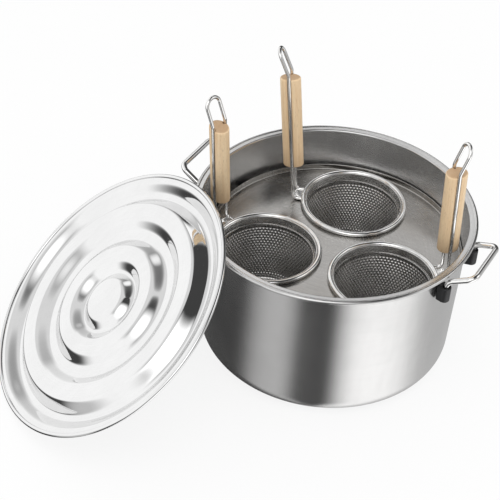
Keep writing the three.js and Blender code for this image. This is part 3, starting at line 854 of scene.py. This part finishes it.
def bridge_surface(basket, lean):
    """A small plate between the wires: a flat rounded section carried outwards from the ring's own curve,
    with thinner ends, a hollow outer edge and a slight sag.
    """
    into_wire, into_ring, past_root, hollow, sag = 0.0002, 0.0008, 0.0004, 0.0012, 0.0006
    section_points, squareness, inner_rows = 48, 0.35, 6
    up, *_, root = handle_axes(basket, lean)
    half = wire_foot(basket, up) - basket.wire / 2 + into_wire
    turn = np.linspace(0, 2 * pi, section_points, endpoint=False)
    y = half * np.sign(np.cos(turn)) * np.abs(np.cos(turn)) ** squareness
    z = basket.bridge / 2 * np.sign(np.sin(turn)) * np.abs(np.sin(turn)) ** squareness
    start = np.sqrt(basket.ring_radius**2 - y**2) - into_ring
    end = root[0] + past_root - hollow * (y / half) ** 2
    share_out = np.concatenate([[0.0, 0.04], np.linspace(0.15, 0.85, inner_rows), [0.96, 1.0]])[:, None]
    thin = np.concatenate([[0.9], np.ones(inner_rows + 2), [0.7]])[:, None]
    x = start + (end - start) * share_out
    return loft(np.stack([x, np.broadcast_to(y, x.shape), z * thin - sag * np.sin(pi * share_out)], -1))


def grip_surface(basket):
    """A rod of oval section with a half round groove on each side, about its own axis: at an angle the
    section reaches to the oval or, where that is nearer, to the groove's circle. Both ends are rounded over
    by a quarter circle and closed by rows drawn in towards the middle.
    """
    slack, groove_turn, groove_points, plain_points = 0.0003, 0.30, 41, 25
    edge_points, length_points, end_rows = 9, 14, np.array([[0.25], [0.6], [0.88]])
    a, b = basket.grip_depth / 2, basket.grip_width / 2
    groove, place = basket.wire / 2 + slack, basket.wire_span / 2
    fine = np.linspace(-groove_turn, groove_turn, groove_points)
    plain = np.linspace(groove_turn, pi - groove_turn, plain_points)[1:-1]
    turn = np.concatenate([pi / 2 + fine, pi / 2 + plain, 3 * pi / 2 + fine, 3 * pi / 2 + plain])
    x, y = np.cos(turn), np.sin(turn)
    oval = 1 / np.sqrt((x / a) ** 2 + (y / b) ** 2)
    inside = groove**2 - (place * x) ** 2
    to_groove = place * np.abs(y) - np.sqrt(np.maximum(inside, 0))
    section = np.where(inside > 0, np.minimum(oval, to_groove), oval)
    quarter = np.radians(np.linspace(0, 90, edge_points))
    inset = basket.grip_round * (1 - np.sin(quarter))
    rise = basket.grip_round * (1 - np.cos(quarter))
    straight = basket.grip_length - 2 * basket.grip_round
    long = np.linspace(0, 1, length_points)[1:-1] * straight + basket.grip_round
    draw_in = np.concatenate([inset, np.zeros_like(long), inset[::-1]])
    reach = section[None] - draw_in[:, None]
    cap = reach[:1] * end_rows
    reach = np.concatenate([cap, reach, cap[::-1]])
    flat = np.zeros(len(end_rows))
    z = np.concatenate([flat, rise, long, basket.grip_length - rise[::-1], basket.grip_length - flat])
    return loft(round_points(reach, turn, z[:, None]))


# Shape of the lid


# Start and end of each of the lid's stamped flats, as shares of the way from the button to the outside of
# the sunk ring, and its height over the edge
LID_FLATS = (
    (0.095, 0.105, -0.0045),
    (0.21, 0.358, 0.005),
    (0.467, 0.563, -0.005),
    (0.672, 0.838, 0.004),
    (0.943, 1.0, -0.010),
)


def lid_profile(lid):
    """The stamped sheet as (r, z), z from the middle of the flat edge: straight flats and slopes between
    the button and the edge, each bend spread by a bell curve, with a rolled edge and the same line back one
    sheet higher. The line is worked out finely, past both its ends, and every third point is kept.
    """
    step, past_end, bell_steps, kept_step, seam_turn, tiny = 0.0004, 60, 40, 3, 10, 1e-9
    reach = lid.plug - lid.button
    roll = lid.radius - lid.roll
    corners = [(0.0, lid.button_height), (lid.button, lid.button_height)]
    for start, end, height in LID_FLATS:
        corners += [(lid.button + start * reach, height), (lid.button + end * reach, height)]
    corners += [(lid.plug + lid.plug_slope, 0.0), (roll, 0.0)]
    r = np.arange(-past_end, int(roll / step) + past_end) * step
    z = np.interp(np.abs(r), *zip(*corners))
    bell = np.exp(-0.5 * (np.arange(-bell_steps, bell_steps + 1) * step / lid.softness) ** 2)
    z = np.convolve(z, bell / bell.sum(), mode="same")
    kept = (r >= -tiny) & (r < roll - lid.roll)
    r, z = np.maximum(r[kept], 0.0)[::kept_step], z[kept][::kept_step]
    half = lid.sheet / 2
    start = degrees(asin(half / lid.roll))
    bead = arc((roll, 0.0), lid.roll, start - 180 + seam_turn, 180 - start, ROLL_STEPS)
    seam = [(roll - SEAM_DEPTH * lid.roll, -half)]
    return np.concatenate([np.stack([r, z - half], -1), seam, bead, np.stack([r, z + half], -1)[::-1]])


def lid_place():
    """Turn and place of the leaning lid, read off its node: its axis is its joint's, its middle is the mean
    of the node's points, and its edge's mid plane goes through the points farthest from the axis.
    """
    same_reach = 1e-5
    joint = next(j for j in frame["joints"] if j["child"] == "lid_body")
    normal = np.array(joint["axis"], float)
    normal /= np.linalg.norm(normal)
    points = np.array([v.co for v in frame["nodes"]["lid"].data.vertices], float)
    points = np.unique(np.round(points, 6), axis=0)
    middle = points.mean(0)
    height = (points - middle) @ normal
    far = np.linalg.norm(points - middle - height[:, None] * normal, axis=1)
    edge = height[far > far.max() - same_reach].mean()
    downhill = np.array([0.0, 0.0, -1.0]) + normal * normal[2]
    downhill /= np.linalg.norm(downhill)
    turn = np.stack([downhill, np.cross(normal, downhill), normal], -1)
    return turn, middle + normal * edge


# Materials


class Tree:
    """Adds nodes to one tree and links them as they are made."""

    def __init__(self, tree):
        self.tree = tree
        tree.nodes.clear()

    def node(self, kind, inputs=(), **options):
        """One node with its options set and its inputs fed by name or number."""
        made = self.tree.nodes.new("ShaderNode" + kind)
        for option, value in options.items():
            setattr(made, option, value)
        for socket, value in dict(inputs).items():
            self.feed(made.inputs[socket], value)
        return made

    def feed(self, socket, value):
        """Links another node's output to a socket, or sets the socket's own value, a colour opaque."""
        if isinstance(value, bpy.types.NodeSocket):
            self.tree.links.new(value, socket)
        else:
            opaque = socket.type == "RGBA" and len(value) == 3
            socket.default_value = (*value, 1.0) if opaque else value

    def math(self, operation, first, second=0.0):
        """Two numbers made one."""
        return self.node("Math", {0: first, 1: second}, operation=operation).outputs[0]

    def weighted(self, first, share_of_first, second, share_of_second):
        """The sum of two numbers, each times its own share."""
        part = self.math("MULTIPLY", first, share_of_first)
        return self.math("ADD", part, self.math("MULTIPLY", second, share_of_second))

    def place(self, local):
        """Where a point lies, on its piece as it was made or in the frame of the model."""
        if local:
            return self.node("Attribute", attribute_name="local").outputs["Vector"]
        return self.node("TexCoord").outputs["Object"]

    def scaled(self, vector, by):
        """A vector with each part multiplied by its own number."""
        return self.node("VectorMath", {0: vector, 1: by}, operation="MULTIPLY").outputs[0]

    def fade(self, value, low, high, start=0.0, end=1.0):
        """Goes smoothly from start to end while a value goes from low to high."""
        inputs = {"Value": value, "From Min": low, "From Max": high, "To Min": start, "To Max": end}
        return self.node("MapRange", inputs, interpolation_type="SMOOTHSTEP").outputs["Result"]

    def mix(self, factor, first, second):
        """A colour between two colours."""
        return self.node("Mix", {0: factor, 6: first, 7: second}, data_type="RGBA").outputs[2]

    def noise(self, vector, scale, detail=2.0, roughness=0.5):
        """Cloudy noise from 0 to 1."""
        inputs = {"Vector": vector, "Scale": scale, "Detail": detail, "Roughness": roughness}
        return self.node("TexNoise", inputs).outputs[0]

    def group(self, tree, inputs):
        """A node group's output for its own inputs."""
        return self.node("Group", inputs, node_tree=tree).outputs[0]

    def emboss(self, shader, height, distance, strength=1.0):
        """Lets a height raise and sink a shader's surface by a distance."""
        bump = self.node("Bump", {"Strength": strength, "Distance": distance, "Height": height})
        self.feed(shader.inputs["Normal"], bump.outputs[0])


def new_group(name, number):
    """An empty node group from a place and a number to a value, and the nodes that hold its sockets."""
    tree = bpy.data.node_groups.new(name, "ShaderNodeTree")
    nodes = Tree(tree)
    tree.interface.new_socket("Place", in_out="INPUT", socket_type="NodeSocketVector")
    tree.interface.new_socket(number, in_out="INPUT", socket_type="NodeSocketFloat")
    tree.interface.new_socket("Value", in_out="OUTPUT", socket_type="NodeSocketFloat")
    return nodes, tree.nodes.new("NodeGroupInput"), tree.nodes.new("NodeGroupOutput")


def turned_lines():
    """Group: marks of turning and polishing, noise drawn out round an axis and fine along the profile."""
    found = bpy.data.node_groups.get("turned_lines")
    if found:
        return found
    drift = (2.0, 2.0, 0.0)
    nodes, given, result = new_group("turned_lines", "Lines")
    flat = nodes.scaled(given.outputs["Place"], (1.0, 1.0, 0.0))
    around = nodes.node("VectorMath", {0: flat}, operation="NORMALIZE").outputs[0]
    split = nodes.node("SeparateXYZ", {0: nodes.scaled(around, drift)})
    radius = nodes.node("VectorMath", {0: flat}, operation="LENGTH").outputs["Value"]
    height = nodes.node("SeparateXYZ", {0: given.outputs["Place"]}).outputs[2]
    along = nodes.math("MULTIPLY", nodes.math("ADD", radius, height), given.outputs["Lines"])
    place = nodes.node("CombineXYZ", {0: split.outputs[0], 1: split.outputs[1], 2: along}).outputs[0]
    fine = nodes.noise(place, 1.0, detail=4.0, roughness=0.7)
    nodes.feed(result.inputs["Value"], nodes.math("SUBTRACT", fine, 0.5))
    return nodes.tree


def handling_marks():
    """Group: soft patches and fine wipes that use and cleaning leave on steel."""
    found = bpy.data.node_groups.get("handling_marks")
    if found:
        return found
    wipe_stretch, wipe_fineness, patch_share = (1.0, 3.5, 0.6), 4.0, 0.7
    nodes, given, result = new_group("handling_marks", "Patch")
    patch = nodes.noise(given.outputs["Place"], given.outputs["Patch"], detail=3.0, roughness=0.55)
    wiped = nodes.scaled(given.outputs["Place"], wipe_stretch)
    fineness = nodes.math("MULTIPLY", given.outputs["Patch"], wipe_fineness)
    wipe = nodes.noise(wiped, fineness, detail=2.0, roughness=0.6)
    both = nodes.weighted(patch, patch_share, wipe, 1 - patch_share)
    nodes.feed(result.inputs["Value"], nodes.math("SUBTRACT", both, 0.5))
    return nodes.tree


def new_material(name):
    """An empty material, its nodes and its Principled shader."""
    material = bpy.data.materials.new(name)
    material.use_nodes = True
    nodes = Tree(material.node_tree)
    shader = nodes.node("BsdfPrincipled")
    output = nodes.node("OutputMaterial", {"Surface": shader.outputs[0]})
    output.is_active_output = True
    return material, nodes, shader


# Each steel: turned lines to the metre and how far they vary the roughness, the same for handling marks,
# how far both shade the colour and, where they do, how deep the lines are cut and how far they draw
# highlights out
STEELS = {
    "satin_steel": {
        "lines": (1500.0, 0.03), "marks": (9.0, 0.03), "shade": 0.08, "groove": 1e-6, "drawn": 0.85
    },
    "plate_steel": {"lines": (700.0, 0.10), "marks": (22.0, 0.20), "shade": 0.24, "groove": 3e-6},
    "bright_steel": {"lines": (1800.0, 0.08), "marks": (60.0, 0.10), "shade": 0.12},
    "mesh_steel": {"lines": (900.0, 0.06), "marks": (40.0, 0.10), "shade": 0.15},
    "mirror_steel": {"lines": (1200.0, 0.04), "marks": (11.0, 0.04), "shade": 0.05},
}


def steel(slot, colour, roughness, local=True, stain=None):
    """Bare steel: turned lines and handling marks vary its roughness and shade, the lines are cut in a
    little and draw highlights out across them, and a stain lies on it in streaks.
    """
    title = slot + "_finish"
    found = bpy.data.materials.get(title)
    if found:
        return found
    kind = STEELS[slot]
    smoothest, roughest, line_tone, tone_reach, quarter_turn = 0.04, 0.9, 0.5, 0.25, 0.25
    streak_size, streak_from, streak_to, streak_cover = (9.0, 16.0, 9.0), 0.44, 0.74, 0.70
    material, nodes, shader = new_material(title)
    at = nodes.place(local)
    line = nodes.group(turned_lines(), {"Place": at, "Lines": kind["lines"][0]})
    mark = nodes.group(handling_marks(), {"Place": at, "Patch": kind["marks"][0]})
    rough = nodes.math("ADD", roughness, nodes.weighted(line, kind["lines"][1], mark, kind["marks"][1]))
    clamped = nodes.node("Clamp", {0: rough, 1: smoothest, 2: roughest})
    nodes.feed(shader.inputs["Roughness"], clamped.outputs[0])
    darker = [part * (1 - kind["shade"]) for part in colour]
    lighter = [min(1.0, part * (1 + 0.5 * kind["shade"])) for part in colour]
    tone = nodes.math("ADD", mark, nodes.math("MULTIPLY", line, line_tone))
    base = nodes.mix(nodes.fade(tone, -tone_reach, tone_reach), darker, lighter)
    if stain is not None:
        streak = nodes.noise(nodes.scaled(at, streak_size), 1.0, detail=5.0, roughness=0.62)
        base = nodes.mix(nodes.fade(streak, streak_from, streak_to, 0.0, streak_cover), base, stain)
    nodes.feed(shader.inputs["Base Color"], base)
    shader.inputs["Metallic"].default_value = 1.0
    if "drawn" in kind:
        shader.inputs["Anisotropic"].default_value = kind["drawn"]
        shader.inputs["Anisotropic Rotation"].default_value = quarter_turn
        tangent = nodes.node("Tangent", direction_type="UV_MAP", uv_map="turn")
        nodes.feed(shader.inputs["Tangent"], tangent.outputs[0])
    if "groove" in kind:
        nodes.emboss(shader, line, kind["groove"])
    return material


def satin(finish):
    """The pot's satin steel, with its lines round the pot."""
    return steel("satin_steel", finish.satin_steel, finish.satin_roughness, local=False)


def bright(finish):
    """The polished steel of rings, collars, wires and bars."""
    return steel("bright_steel", finish.bright_steel, finish.bright_roughness)


def black_plastic(colour):
    """Moulded plastic: a fine grain, a few paler scuffs and a soft sheen."""
    grain_fineness, scuff_fineness, scuff_from, scuff_to = 2400.0, 260.0, 0.58, 0.75
    paling, least_pale, smoothest, unevenness = 2.6, 0.01, 0.40, 0.16
    material, nodes, shader = new_material("black_plastic")
    at = nodes.place(local=False)
    grain = nodes.noise(at, grain_fineness, detail=2.0, roughness=0.6)
    scuff = nodes.noise(at, scuff_fineness, detail=4.0, roughness=0.7)
    paler = [part * paling + least_pale for part in colour]
    base = nodes.mix(nodes.fade(scuff, scuff_from, scuff_to), colour, paler)
    nodes.feed(shader.inputs["Base Color"], base)
    rough = nodes.math("ADD", smoothest, nodes.math("MULTIPLY", grain, unevenness))
    nodes.feed(shader.inputs["Roughness"], rough)
    nodes.emboss(shader, grain, 0.00008, strength=0.6)
    return material


def beech(name, finish, plank, basket):
    """Bare beech along the grip: long growth lines, short dark flecks, browner ends, and painted shade in the
    grooves.
    """
    broad_size, line_size, fleck_size = (130.0, 130.0, 7.0), (620.0, 620.0, 16.0), (1500.0, 1500.0, 170.0)
    broad_share, fleck_dark, fleck_cover = 0.6, 0.62, 0.55
    soaked_height, soaked_full, soaked_cover = 0.03, 0.002, 0.35
    end_depth, end_full, end_cover = 0.0012, 0.0001, 0.75
    # Painted shade in the grooves: where it starts, where it is full and how much of the end grain's colour it
    # takes
    groove_shade_edge, groove_shade_full, groove_shade_cover = 0.0026, 0.0018, 0.8
    smoothest, unevenness = 0.42, 0.2
    material, nodes, shader = new_material(name)
    at = nodes.place(local=True)
    cut = (plank, plank * 0.7, plank * 1.3)
    moved = nodes.node("VectorMath", {0: at, 1: cut}, operation="ADD").outputs[0]
    broad = nodes.noise(nodes.scaled(moved, broad_size), 1.0, detail=3.0, roughness=0.55)
    lines = nodes.noise(nodes.scaled(moved, line_size), 1.0, detail=3.0, roughness=0.6)
    fleck = nodes.noise(nodes.scaled(moved, fleck_size), 1.0, detail=1.0, roughness=0.5)
    tone = nodes.weighted(broad, broad_share, lines, 1 - broad_share)
    wood = nodes.mix(nodes.fade(tone, 0.36, 0.64), finish.beech_light, finish.beech_dark)
    flecked = [part * fleck_dark for part in finish.beech_dark]
    wood = nodes.mix(nodes.fade(fleck, 0.60, 0.74, 0.0, fleck_cover), wood, flecked)
    split = nodes.node("SeparateXYZ", {0: at})
    height, top = split.outputs[2], basket.grip_length
    soaked = nodes.fade(height, soaked_height, soaked_full, 0.0, soaked_cover)
    top_end = nodes.fade(height, top - end_depth, top - end_full, 0.0, end_cover)
    foot_end = nodes.fade(height, end_depth, end_full, 0.0, end_cover)
    ends = nodes.math("MAXIMUM", soaked, nodes.math("MAXIMUM", top_end, foot_end))
    # Painted shade: strips down the middle of each broad side, where the grooves lie, take the end grain's
    # colour
    beside = nodes.math("ABSOLUTE", split.outputs[0])
    deep = nodes.fade(beside, groove_shade_edge, groove_shade_full, 0.0, groove_shade_cover)
    # Browner end grain, and the same colour painted into the grooves as shade
    wood = nodes.mix(nodes.math("MAXIMUM", ends, deep), wood, finish.beech_end_and_groove_shade)
    nodes.feed(shader.inputs["Base Color"], wood)
    rough = nodes.math("ADD", smoothest, nodes.math("MULTIPLY", lines, unevenness))
    nodes.feed(shader.inputs["Roughness"], rough)
    nodes.emboss(shader, lines, 0.00012, strength=0.7)
    return material


# Operators


class PASTAPOT_OT_stage(bpy.types.Operator):
    """Make the floor, the room's light, the lamp and the camera"""

    bl_idname = "pasta_pot.stage"
    bl_label = "Stage"

    # The room is dark, with plain cards round the object far down, level with it and far up: the azimuth of a
    # card's middle, the half widths of its full and its faded part in degrees, and its brightness
    DARK = 0.06
    LOW_CARDS = [(65, 25, 75, 0.6), (-10, 5, 50, 1.4), (-115, 5, 30, 0.6)]
    LEVEL_CARDS = [(0, 40, 75, 0.5), (-150, 60, 95, 1.1)]
    HIGH_CARDS = [(-165, 30, 85, 0.8)]
    # Sines of the heights between which low cards give way to level ones, and these to high ones
    LOW_TO_LEVEL = (-0.40, -0.12)
    LEVEL_TO_HIGH = (0.45, 0.65)
    # Soft round panels over them: azimuth and height in degrees, half widths and brightness as above
    PANELS = [(115, 40, 5, 15, 1.2), (-70, 45, 5, 30, 1.9), (25, 30, 10, 25, 1.3)]
    BRIGHTEST = 1.9
    # Brightness of the room to rough surfaces
    SOFT_LIGHT = 0.92
    WHITE = (1.0, 1.0, 1.0)
    # The floor's size, its top a hair below the object, and how white the camera sees it
    FLOOR_RADIUS, FLOOR_TOP, FLOOR_FOOT, FLOOR_ROUND = 4.0, -0.0004, -0.02, 64
    FLOOR_WHITE = 0.85
    LAMP_SIZE, LAMP_PLACE, LAMP_TILT = 1.8, (0.5, -0.5, 2.2), 0.22
    # Place, pitch, yaw and roll that show the object at the photograph's angle
    CAMERA_PLACE = (0.4925, -1.1464, 1.1501)
    CAMERA_TURNS = (0.695, 0.074 + radians(23.25), 0.063)
    CAMERA_LENS, CAMERA_SENSOR = 101.53, 36.0

    def execute(self, context):
        scene = context.scene
        stage = scene.pasta_pot.stage
        scene.view_settings.view_transform = "Standard"
        self.make_room(scene, stage)
        self.make_floor(scene, stage)
        self.make_lamp(scene, stage)
        self.make_camera(scene)
        return {"FINISHED"}

    def make_room(self, scene, stage):
        """White to the camera, plain soft light to rough surfaces, and cards and panels to polished ones."""
        world = bpy.data.worlds.new("room")
        scene.world = world
        world.use_nodes = True
        nodes = Tree(world.node_tree)
        way = nodes.node("TexCoord").outputs["Generated"]
        split = nodes.node("SeparateXYZ", {0: way})
        turn = nodes.math("ARCTAN2", split.outputs[1], split.outputs[0])
        height = split.outputs[2]
        cards = (self.LOW_CARDS, self.LEVEL_CARDS, self.HIGH_CARDS)
        low, level, high = (self.zone(nodes, turn, group) for group in cards)
        around = nodes.mix(nodes.fade(height, *self.LOW_TO_LEVEL), low, level)
        around = nodes.mix(nodes.fade(height, *self.LEVEL_TO_HIGH), around, high)
        for azimuth, rise, *panel in self.PANELS:
            out = cos(radians(rise))
            axis = (out * cos(radians(azimuth)), out * sin(radians(azimuth)), sin(radians(rise)))
            near = nodes.node("VectorMath", {0: way, 1: axis}, operation="DOT_PRODUCT").outputs["Value"]
            around = self.lit(nodes, around, near, *panel)
        path = nodes.node("LightPath")
        around = nodes.mix(path.outputs["Is Diffuse Ray"], around, self.grey(self.SOFT_LIGHT))
        lit = nodes.node("Background", {"Color": around, "Strength": self.BRIGHTEST * stage.room})
        plain = nodes.node("Background", {"Color": self.WHITE, "Strength": 1.0})
        seen = path.outputs["Is Camera Ray"]
        both = nodes.node("MixShader", {0: seen, 1: lit.outputs[0], 2: plain.outputs[0]})
        nodes.node("OutputWorld", {"Surface": both.outputs[0]})

    def zone(self, nodes, turn, cards):
        """The dark room with the cards of one height."""
        around = self.grey(self.DARK)
        for azimuth, *card in cards:
            near = nodes.math("COSINE", nodes.math("SUBTRACT", turn, radians(azimuth)))
            around = self.lit(nodes, around, near, *card)
        return around

    def lit(self, nodes, around, near, full, faded, value):
        """The room with one more card, which fades out as the cosine of the angle from its middle falls."""
        inside = nodes.fade(near, cos(radians(faded)), cos(radians(full)))
        return nodes.mix(inside, around, self.grey(value))

    def grey(self, value):
        """A brightness as a colour, as a share of the brightest."""
        return (value / self.BRIGHTEST,) * 3

    def make_floor(self, scene, stage):
        """A pale disc; the camera sees it nearly white and still sees the shadow on it."""
        patch_size, patch_shade, roughness = 3.0, 0.97, 0.9
        rim, top, foot = self.FLOOR_RADIUS, self.FLOOR_TOP, self.FLOOR_FOOT
        surface = lathe(np.array([(0.0, foot), (rim, foot), (rim, top), (0.0, top)]), self.FLOOR_ROUND)
        mesh = surface.mesh("floor", radians(30))
        material, nodes, shader = new_material("floor")
        tone = nodes.noise(nodes.place(local=False), patch_size)
        darker = [part * patch_shade for part in stage.floor]
        nodes.feed(shader.inputs["Base Color"], nodes.mix(tone, darker, stage.floor))
        shader.inputs["Roughness"].default_value = roughness
        shader.inputs["Specular IOR Level"].default_value = 0.0
        glow = nodes.node("Emission", {"Color": self.WHITE, "Strength": 1.0})
        seen = nodes.math("MULTIPLY", nodes.node("LightPath").outputs["Is Camera Ray"], self.FLOOR_WHITE)
        both = nodes.node("MixShader", {0: seen, 1: shader.outputs[0], 2: glow.outputs[0]})
        nodes.feed(nodes.tree.nodes["Material Output"].inputs["Surface"], both.outputs[0])
        mesh.materials.append(material)
        floor = bpy.data.objects.new("floor", mesh)
        scene.collection.objects.link(floor)
        floor.visible_glossy = False

    def make_lamp(self, scene, stage):
        """One large soft lamp overhead, a little in front and to the right."""
        light = bpy.data.lights.new("lamp", "AREA")
        light.shape = "DISK"
        light.size = self.LAMP_SIZE
        light.energy = stage.lamp
        lamp = bpy.data.objects.new("lamp", light)
        lamp.location = self.LAMP_PLACE
        forwards, sideways = (Matrix.Rotation(self.LAMP_TILT, 3, axis) for axis in "XY")
        lamp.rotation_euler = (forwards @ sideways).to_euler()
        lamp.visible_glossy = False
        scene.collection.objects.link(lamp)

    def make_camera(self, scene):
        """A camera that looks along its yaw, pitched down, then rolled about its own view."""
        data = bpy.data.cameras.new("camera")
        data.sensor_width = self.CAMERA_SENSOR
        data.lens = self.CAMERA_LENS
        camera = bpy.data.objects.new("camera", data)
        pitch, yaw, roll = self.CAMERA_TURNS
        level = Matrix.Rotation(yaw, 4, "Z") @ Matrix.Rotation(pi / 2 - pitch, 4, "X")
        camera.matrix_world = Matrix.Translation(self.CAMERA_PLACE) @ level @ Matrix.Rotation(roll, 4, "Z")
        scene.collection.objects.link(camera)
        scene.camera = camera


class PASTAPOT_OT_pot(bpy.types.Operator):
    """Make the pot's shell and finish the lugs inside it"""

    bl_idname = "pasta_pot.pot"
    bl_label = "Pot"

    def execute(self, context):
        model = context.scene.pasta_pot
        material = satin(model.finish)
        shell = lathe(pot_profile(model.pot), LARGE_ROUND)
        add_piece(context, "pot_shell", shell, material, "pot", ["pot_body"])
        for k in (1, 2, 3):
            finish_node(f"plate_lug_{k}", material)
        return {"FINISHED"}


class PASTAPOT_OT_side_handles(bpy.types.Operator):
    """Make the side handles' bars and sockets and finish the studs behind them"""

    bl_idname = "pasta_pot.side_handles"
    bl_label = "Side handles"

    def execute(self, context):
        model = context.scene.pasta_pot
        metal = bright(model.finish)
        plastic = black_plastic(model.finish.plastic)
        _, turn = upright(model.pot, model.handle)
        bar, block = side_bar(model.pot, model.handle), socket_block(model.pot, model.handle)
        still = (0.0, 0.0, 0.0)
        for side, (angle_of_side, ends) in SIDE_HANDLES.items():
            turned = bar.placed(turn_about_z(angle_of_side), still)
            add_piece(context, f"bar_{side}", turned, metal, "pot", [f"side_handle_{side}"])
            for end, sign in ends.items():
                turned = block.placed(turn_about_z(angle_of_side + sign * turn), still)
                node = f"handle_socket_{side}_{end}"
                add_piece(context, f"socket_{side}_{end}", turned, plastic, "pot", [node])
                finish_node(f"socket_stud_{side}_{end}", metal)
        return {"FINISHED"}


class PASTAPOT_OT_plate(bpy.types.Operator):
    """Make the plate that carries the baskets"""

    bl_idname = "pasta_pot.plate"
    bl_label = "Plate"

    def execute(self, context):
        model = context.scene.pasta_pot
        low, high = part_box("basket_plate")
        top = low.z + model.plate.sheet
        radius = (high.x - low.x) / 2
        surface = plate_surface(model.plate, radius, top)
        middle = box_middle("basket_plate") * (1, 1, 0)
        finish = model.finish
        colour, roughness = finish.plate_steel, finish.plate_roughness
        material = steel("plate_steel", colour, roughness, stain=finish.plate_stain)
        placed = surface.placed(np.eye(3), middle)
        add_piece(context, "deck", placed, material, "plate", ["basket_plate"])
        return {"FINISHED"}


class PASTAPOT_OT_baskets(bpy.types.Operator):
    """Make the three baskets: ring, collar and bowl"""

    bl_idname = "pasta_pot.baskets"
    bl_label = "Baskets"

    def execute(self, context):
        model = context.scene.pasta_pot
        finish = model.finish
        metal = bright(finish)
        sheet = steel("mesh_steel", finish.bowl_steel, finish.bowl_roughness)
        shapes = {
            "ring": (ring_surface(model.basket), metal, "bright_steel"),
            "collar": (collar_surface(model.basket), metal, "bright_steel"),
            "mesh": (Bowl(model.basket).made(), sheet, "mesh_steel"),
        }
        names = {"ring": "hoop", "collar": "band", "mesh": "bowl"}
        for name in BASKETS:
            turn, middle = basket_place(name)
            for part, (surface, material, slot) in shapes.items():
                placed = surface.placed(turn, middle)
                node = f"basket_{name}_{part}"
                add_piece(context, f"{names[part]}_{name}", placed, material, f"basket_{name}", [node])
        return {"FINISHED"}


class PASTAPOT_OT_basket_handles(bpy.types.Operator):
    """Make the baskets' handles: wire, bridge and wooden grip"""

    bl_idname = "pasta_pot.basket_handles"
    bl_label = "Basket handles"

    def execute(self, context):
        model = context.scene.pasta_pot
        basket = model.basket
        metal = bright(model.finish)
        for name, lean in BASKETS.items():
            turn, middle = basket_place(name)
            body = f"basket_{name}"
            wire = wire_surface(basket, lean).placed(turn, middle)
            add_piece(context, f"wire_{name}", wire, metal, body, [f"{body}_handle_wire"])
            bridge = bridge_surface(basket, lean).placed(turn, middle)
            add_piece(context, f"tie_{name}", bridge, metal, body, [f"{body}_bridge"])
            up, across, away, _, root = handle_axes(basket, lean)
            axes = turn @ np.stack([away, across, up], -1)
            grip = grip_surface(basket).placed(axes, middle + turn @ (root + up * basket.wire_rise))
            wood = beech(f"beech_{name}", model.finish, lean["plank"], basket)
            add_piece(context, f"wood_{name}", grip, wood, body, [f"{body}_grip"], sharp=32.0)
        return {"FINISHED"}


class PASTAPOT_OT_lid(bpy.types.Operator):
    """Make the stamped lid"""

    bl_idname = "pasta_pot.lid"
    bl_label = "Lid"

    def execute(self, context):
        model = context.scene.pasta_pot
        finish = model.finish
        material = steel("mirror_steel", finish.mirror_steel, finish.mirror_roughness)
        surface = lathe(lid_profile(model.lid), LARGE_ROUND).placed(*lid_place())
        add_piece(context, "lid_sheet", surface, material, "lid_body", ["lid"])
        return {"FINISHED"}


def finish_node(node, material):
    """Gives a carried-over node its material."""
    mesh = frame["nodes"][node].data
    mesh.materials.clear()
    mesh.materials.append(material)


class PASTAPOT_PT_sidebar(bpy.types.Panel):
    """Lists the pieces and their sizes"""

    bl_label = "Pasta Pot"
    bl_idname = "PASTAPOT_PT_sidebar"
    bl_space_type = "VIEW_3D"
    bl_region_type = "UI"
    bl_category = "Pasta Pot"

    def draw(self, context):
        for operator in OPERATORS:
            self.layout.operator(operator.bl_idname)
        model = context.scene.pasta_pot
        for group in ("pot", "handle", "plate", "basket", "lid", "finish", "stage"):
            box = self.layout.box()
            box.label(text=group.capitalize())
            for name in getattr(model, group).bl_rna.properties.keys():
                if name not in {"rna_type", "name"}:
                    box.prop(getattr(model, group), name)


GROUPS = (PotSizes, HandleSizes, PlateSizes, BasketSizes, LidSizes, Finishes, StageSettings, PastaPot)
OPERATORS = (
    PASTAPOT_OT_stage,
    PASTAPOT_OT_pot,
    PASTAPOT_OT_side_handles,
    PASTAPOT_OT_plate,
    PASTAPOT_OT_baskets,
    PASTAPOT_OT_basket_handles,
    PASTAPOT_OT_lid,
)


def register():
    for made in (*GROUPS, *OPERATORS, PASTAPOT_PT_sidebar):
        bpy.utils.register_class(made)
    bpy.types.Scene.pasta_pot = PointerProperty(type=PastaPot)


def unregister():
    del bpy.types.Scene.pasta_pot
    for made in (PASTAPOT_PT_sidebar, *reversed(OPERATORS), *reversed(GROUPS)):
        bpy.utils.unregister_class(made)


def main():
    """Registers the classes and makes every piece."""
    register()
    bpy.ops.pasta_pot.stage()
    bpy.ops.pasta_pot.pot()
    bpy.ops.pasta_pot.side_handles()
    bpy.ops.pasta_pot.plate()
    bpy.ops.pasta_pot.baskets()
    bpy.ops.pasta_pot.basket_handles()
    bpy.ops.pasta_pot.lid()


if __name__ == "__main__":
    main()
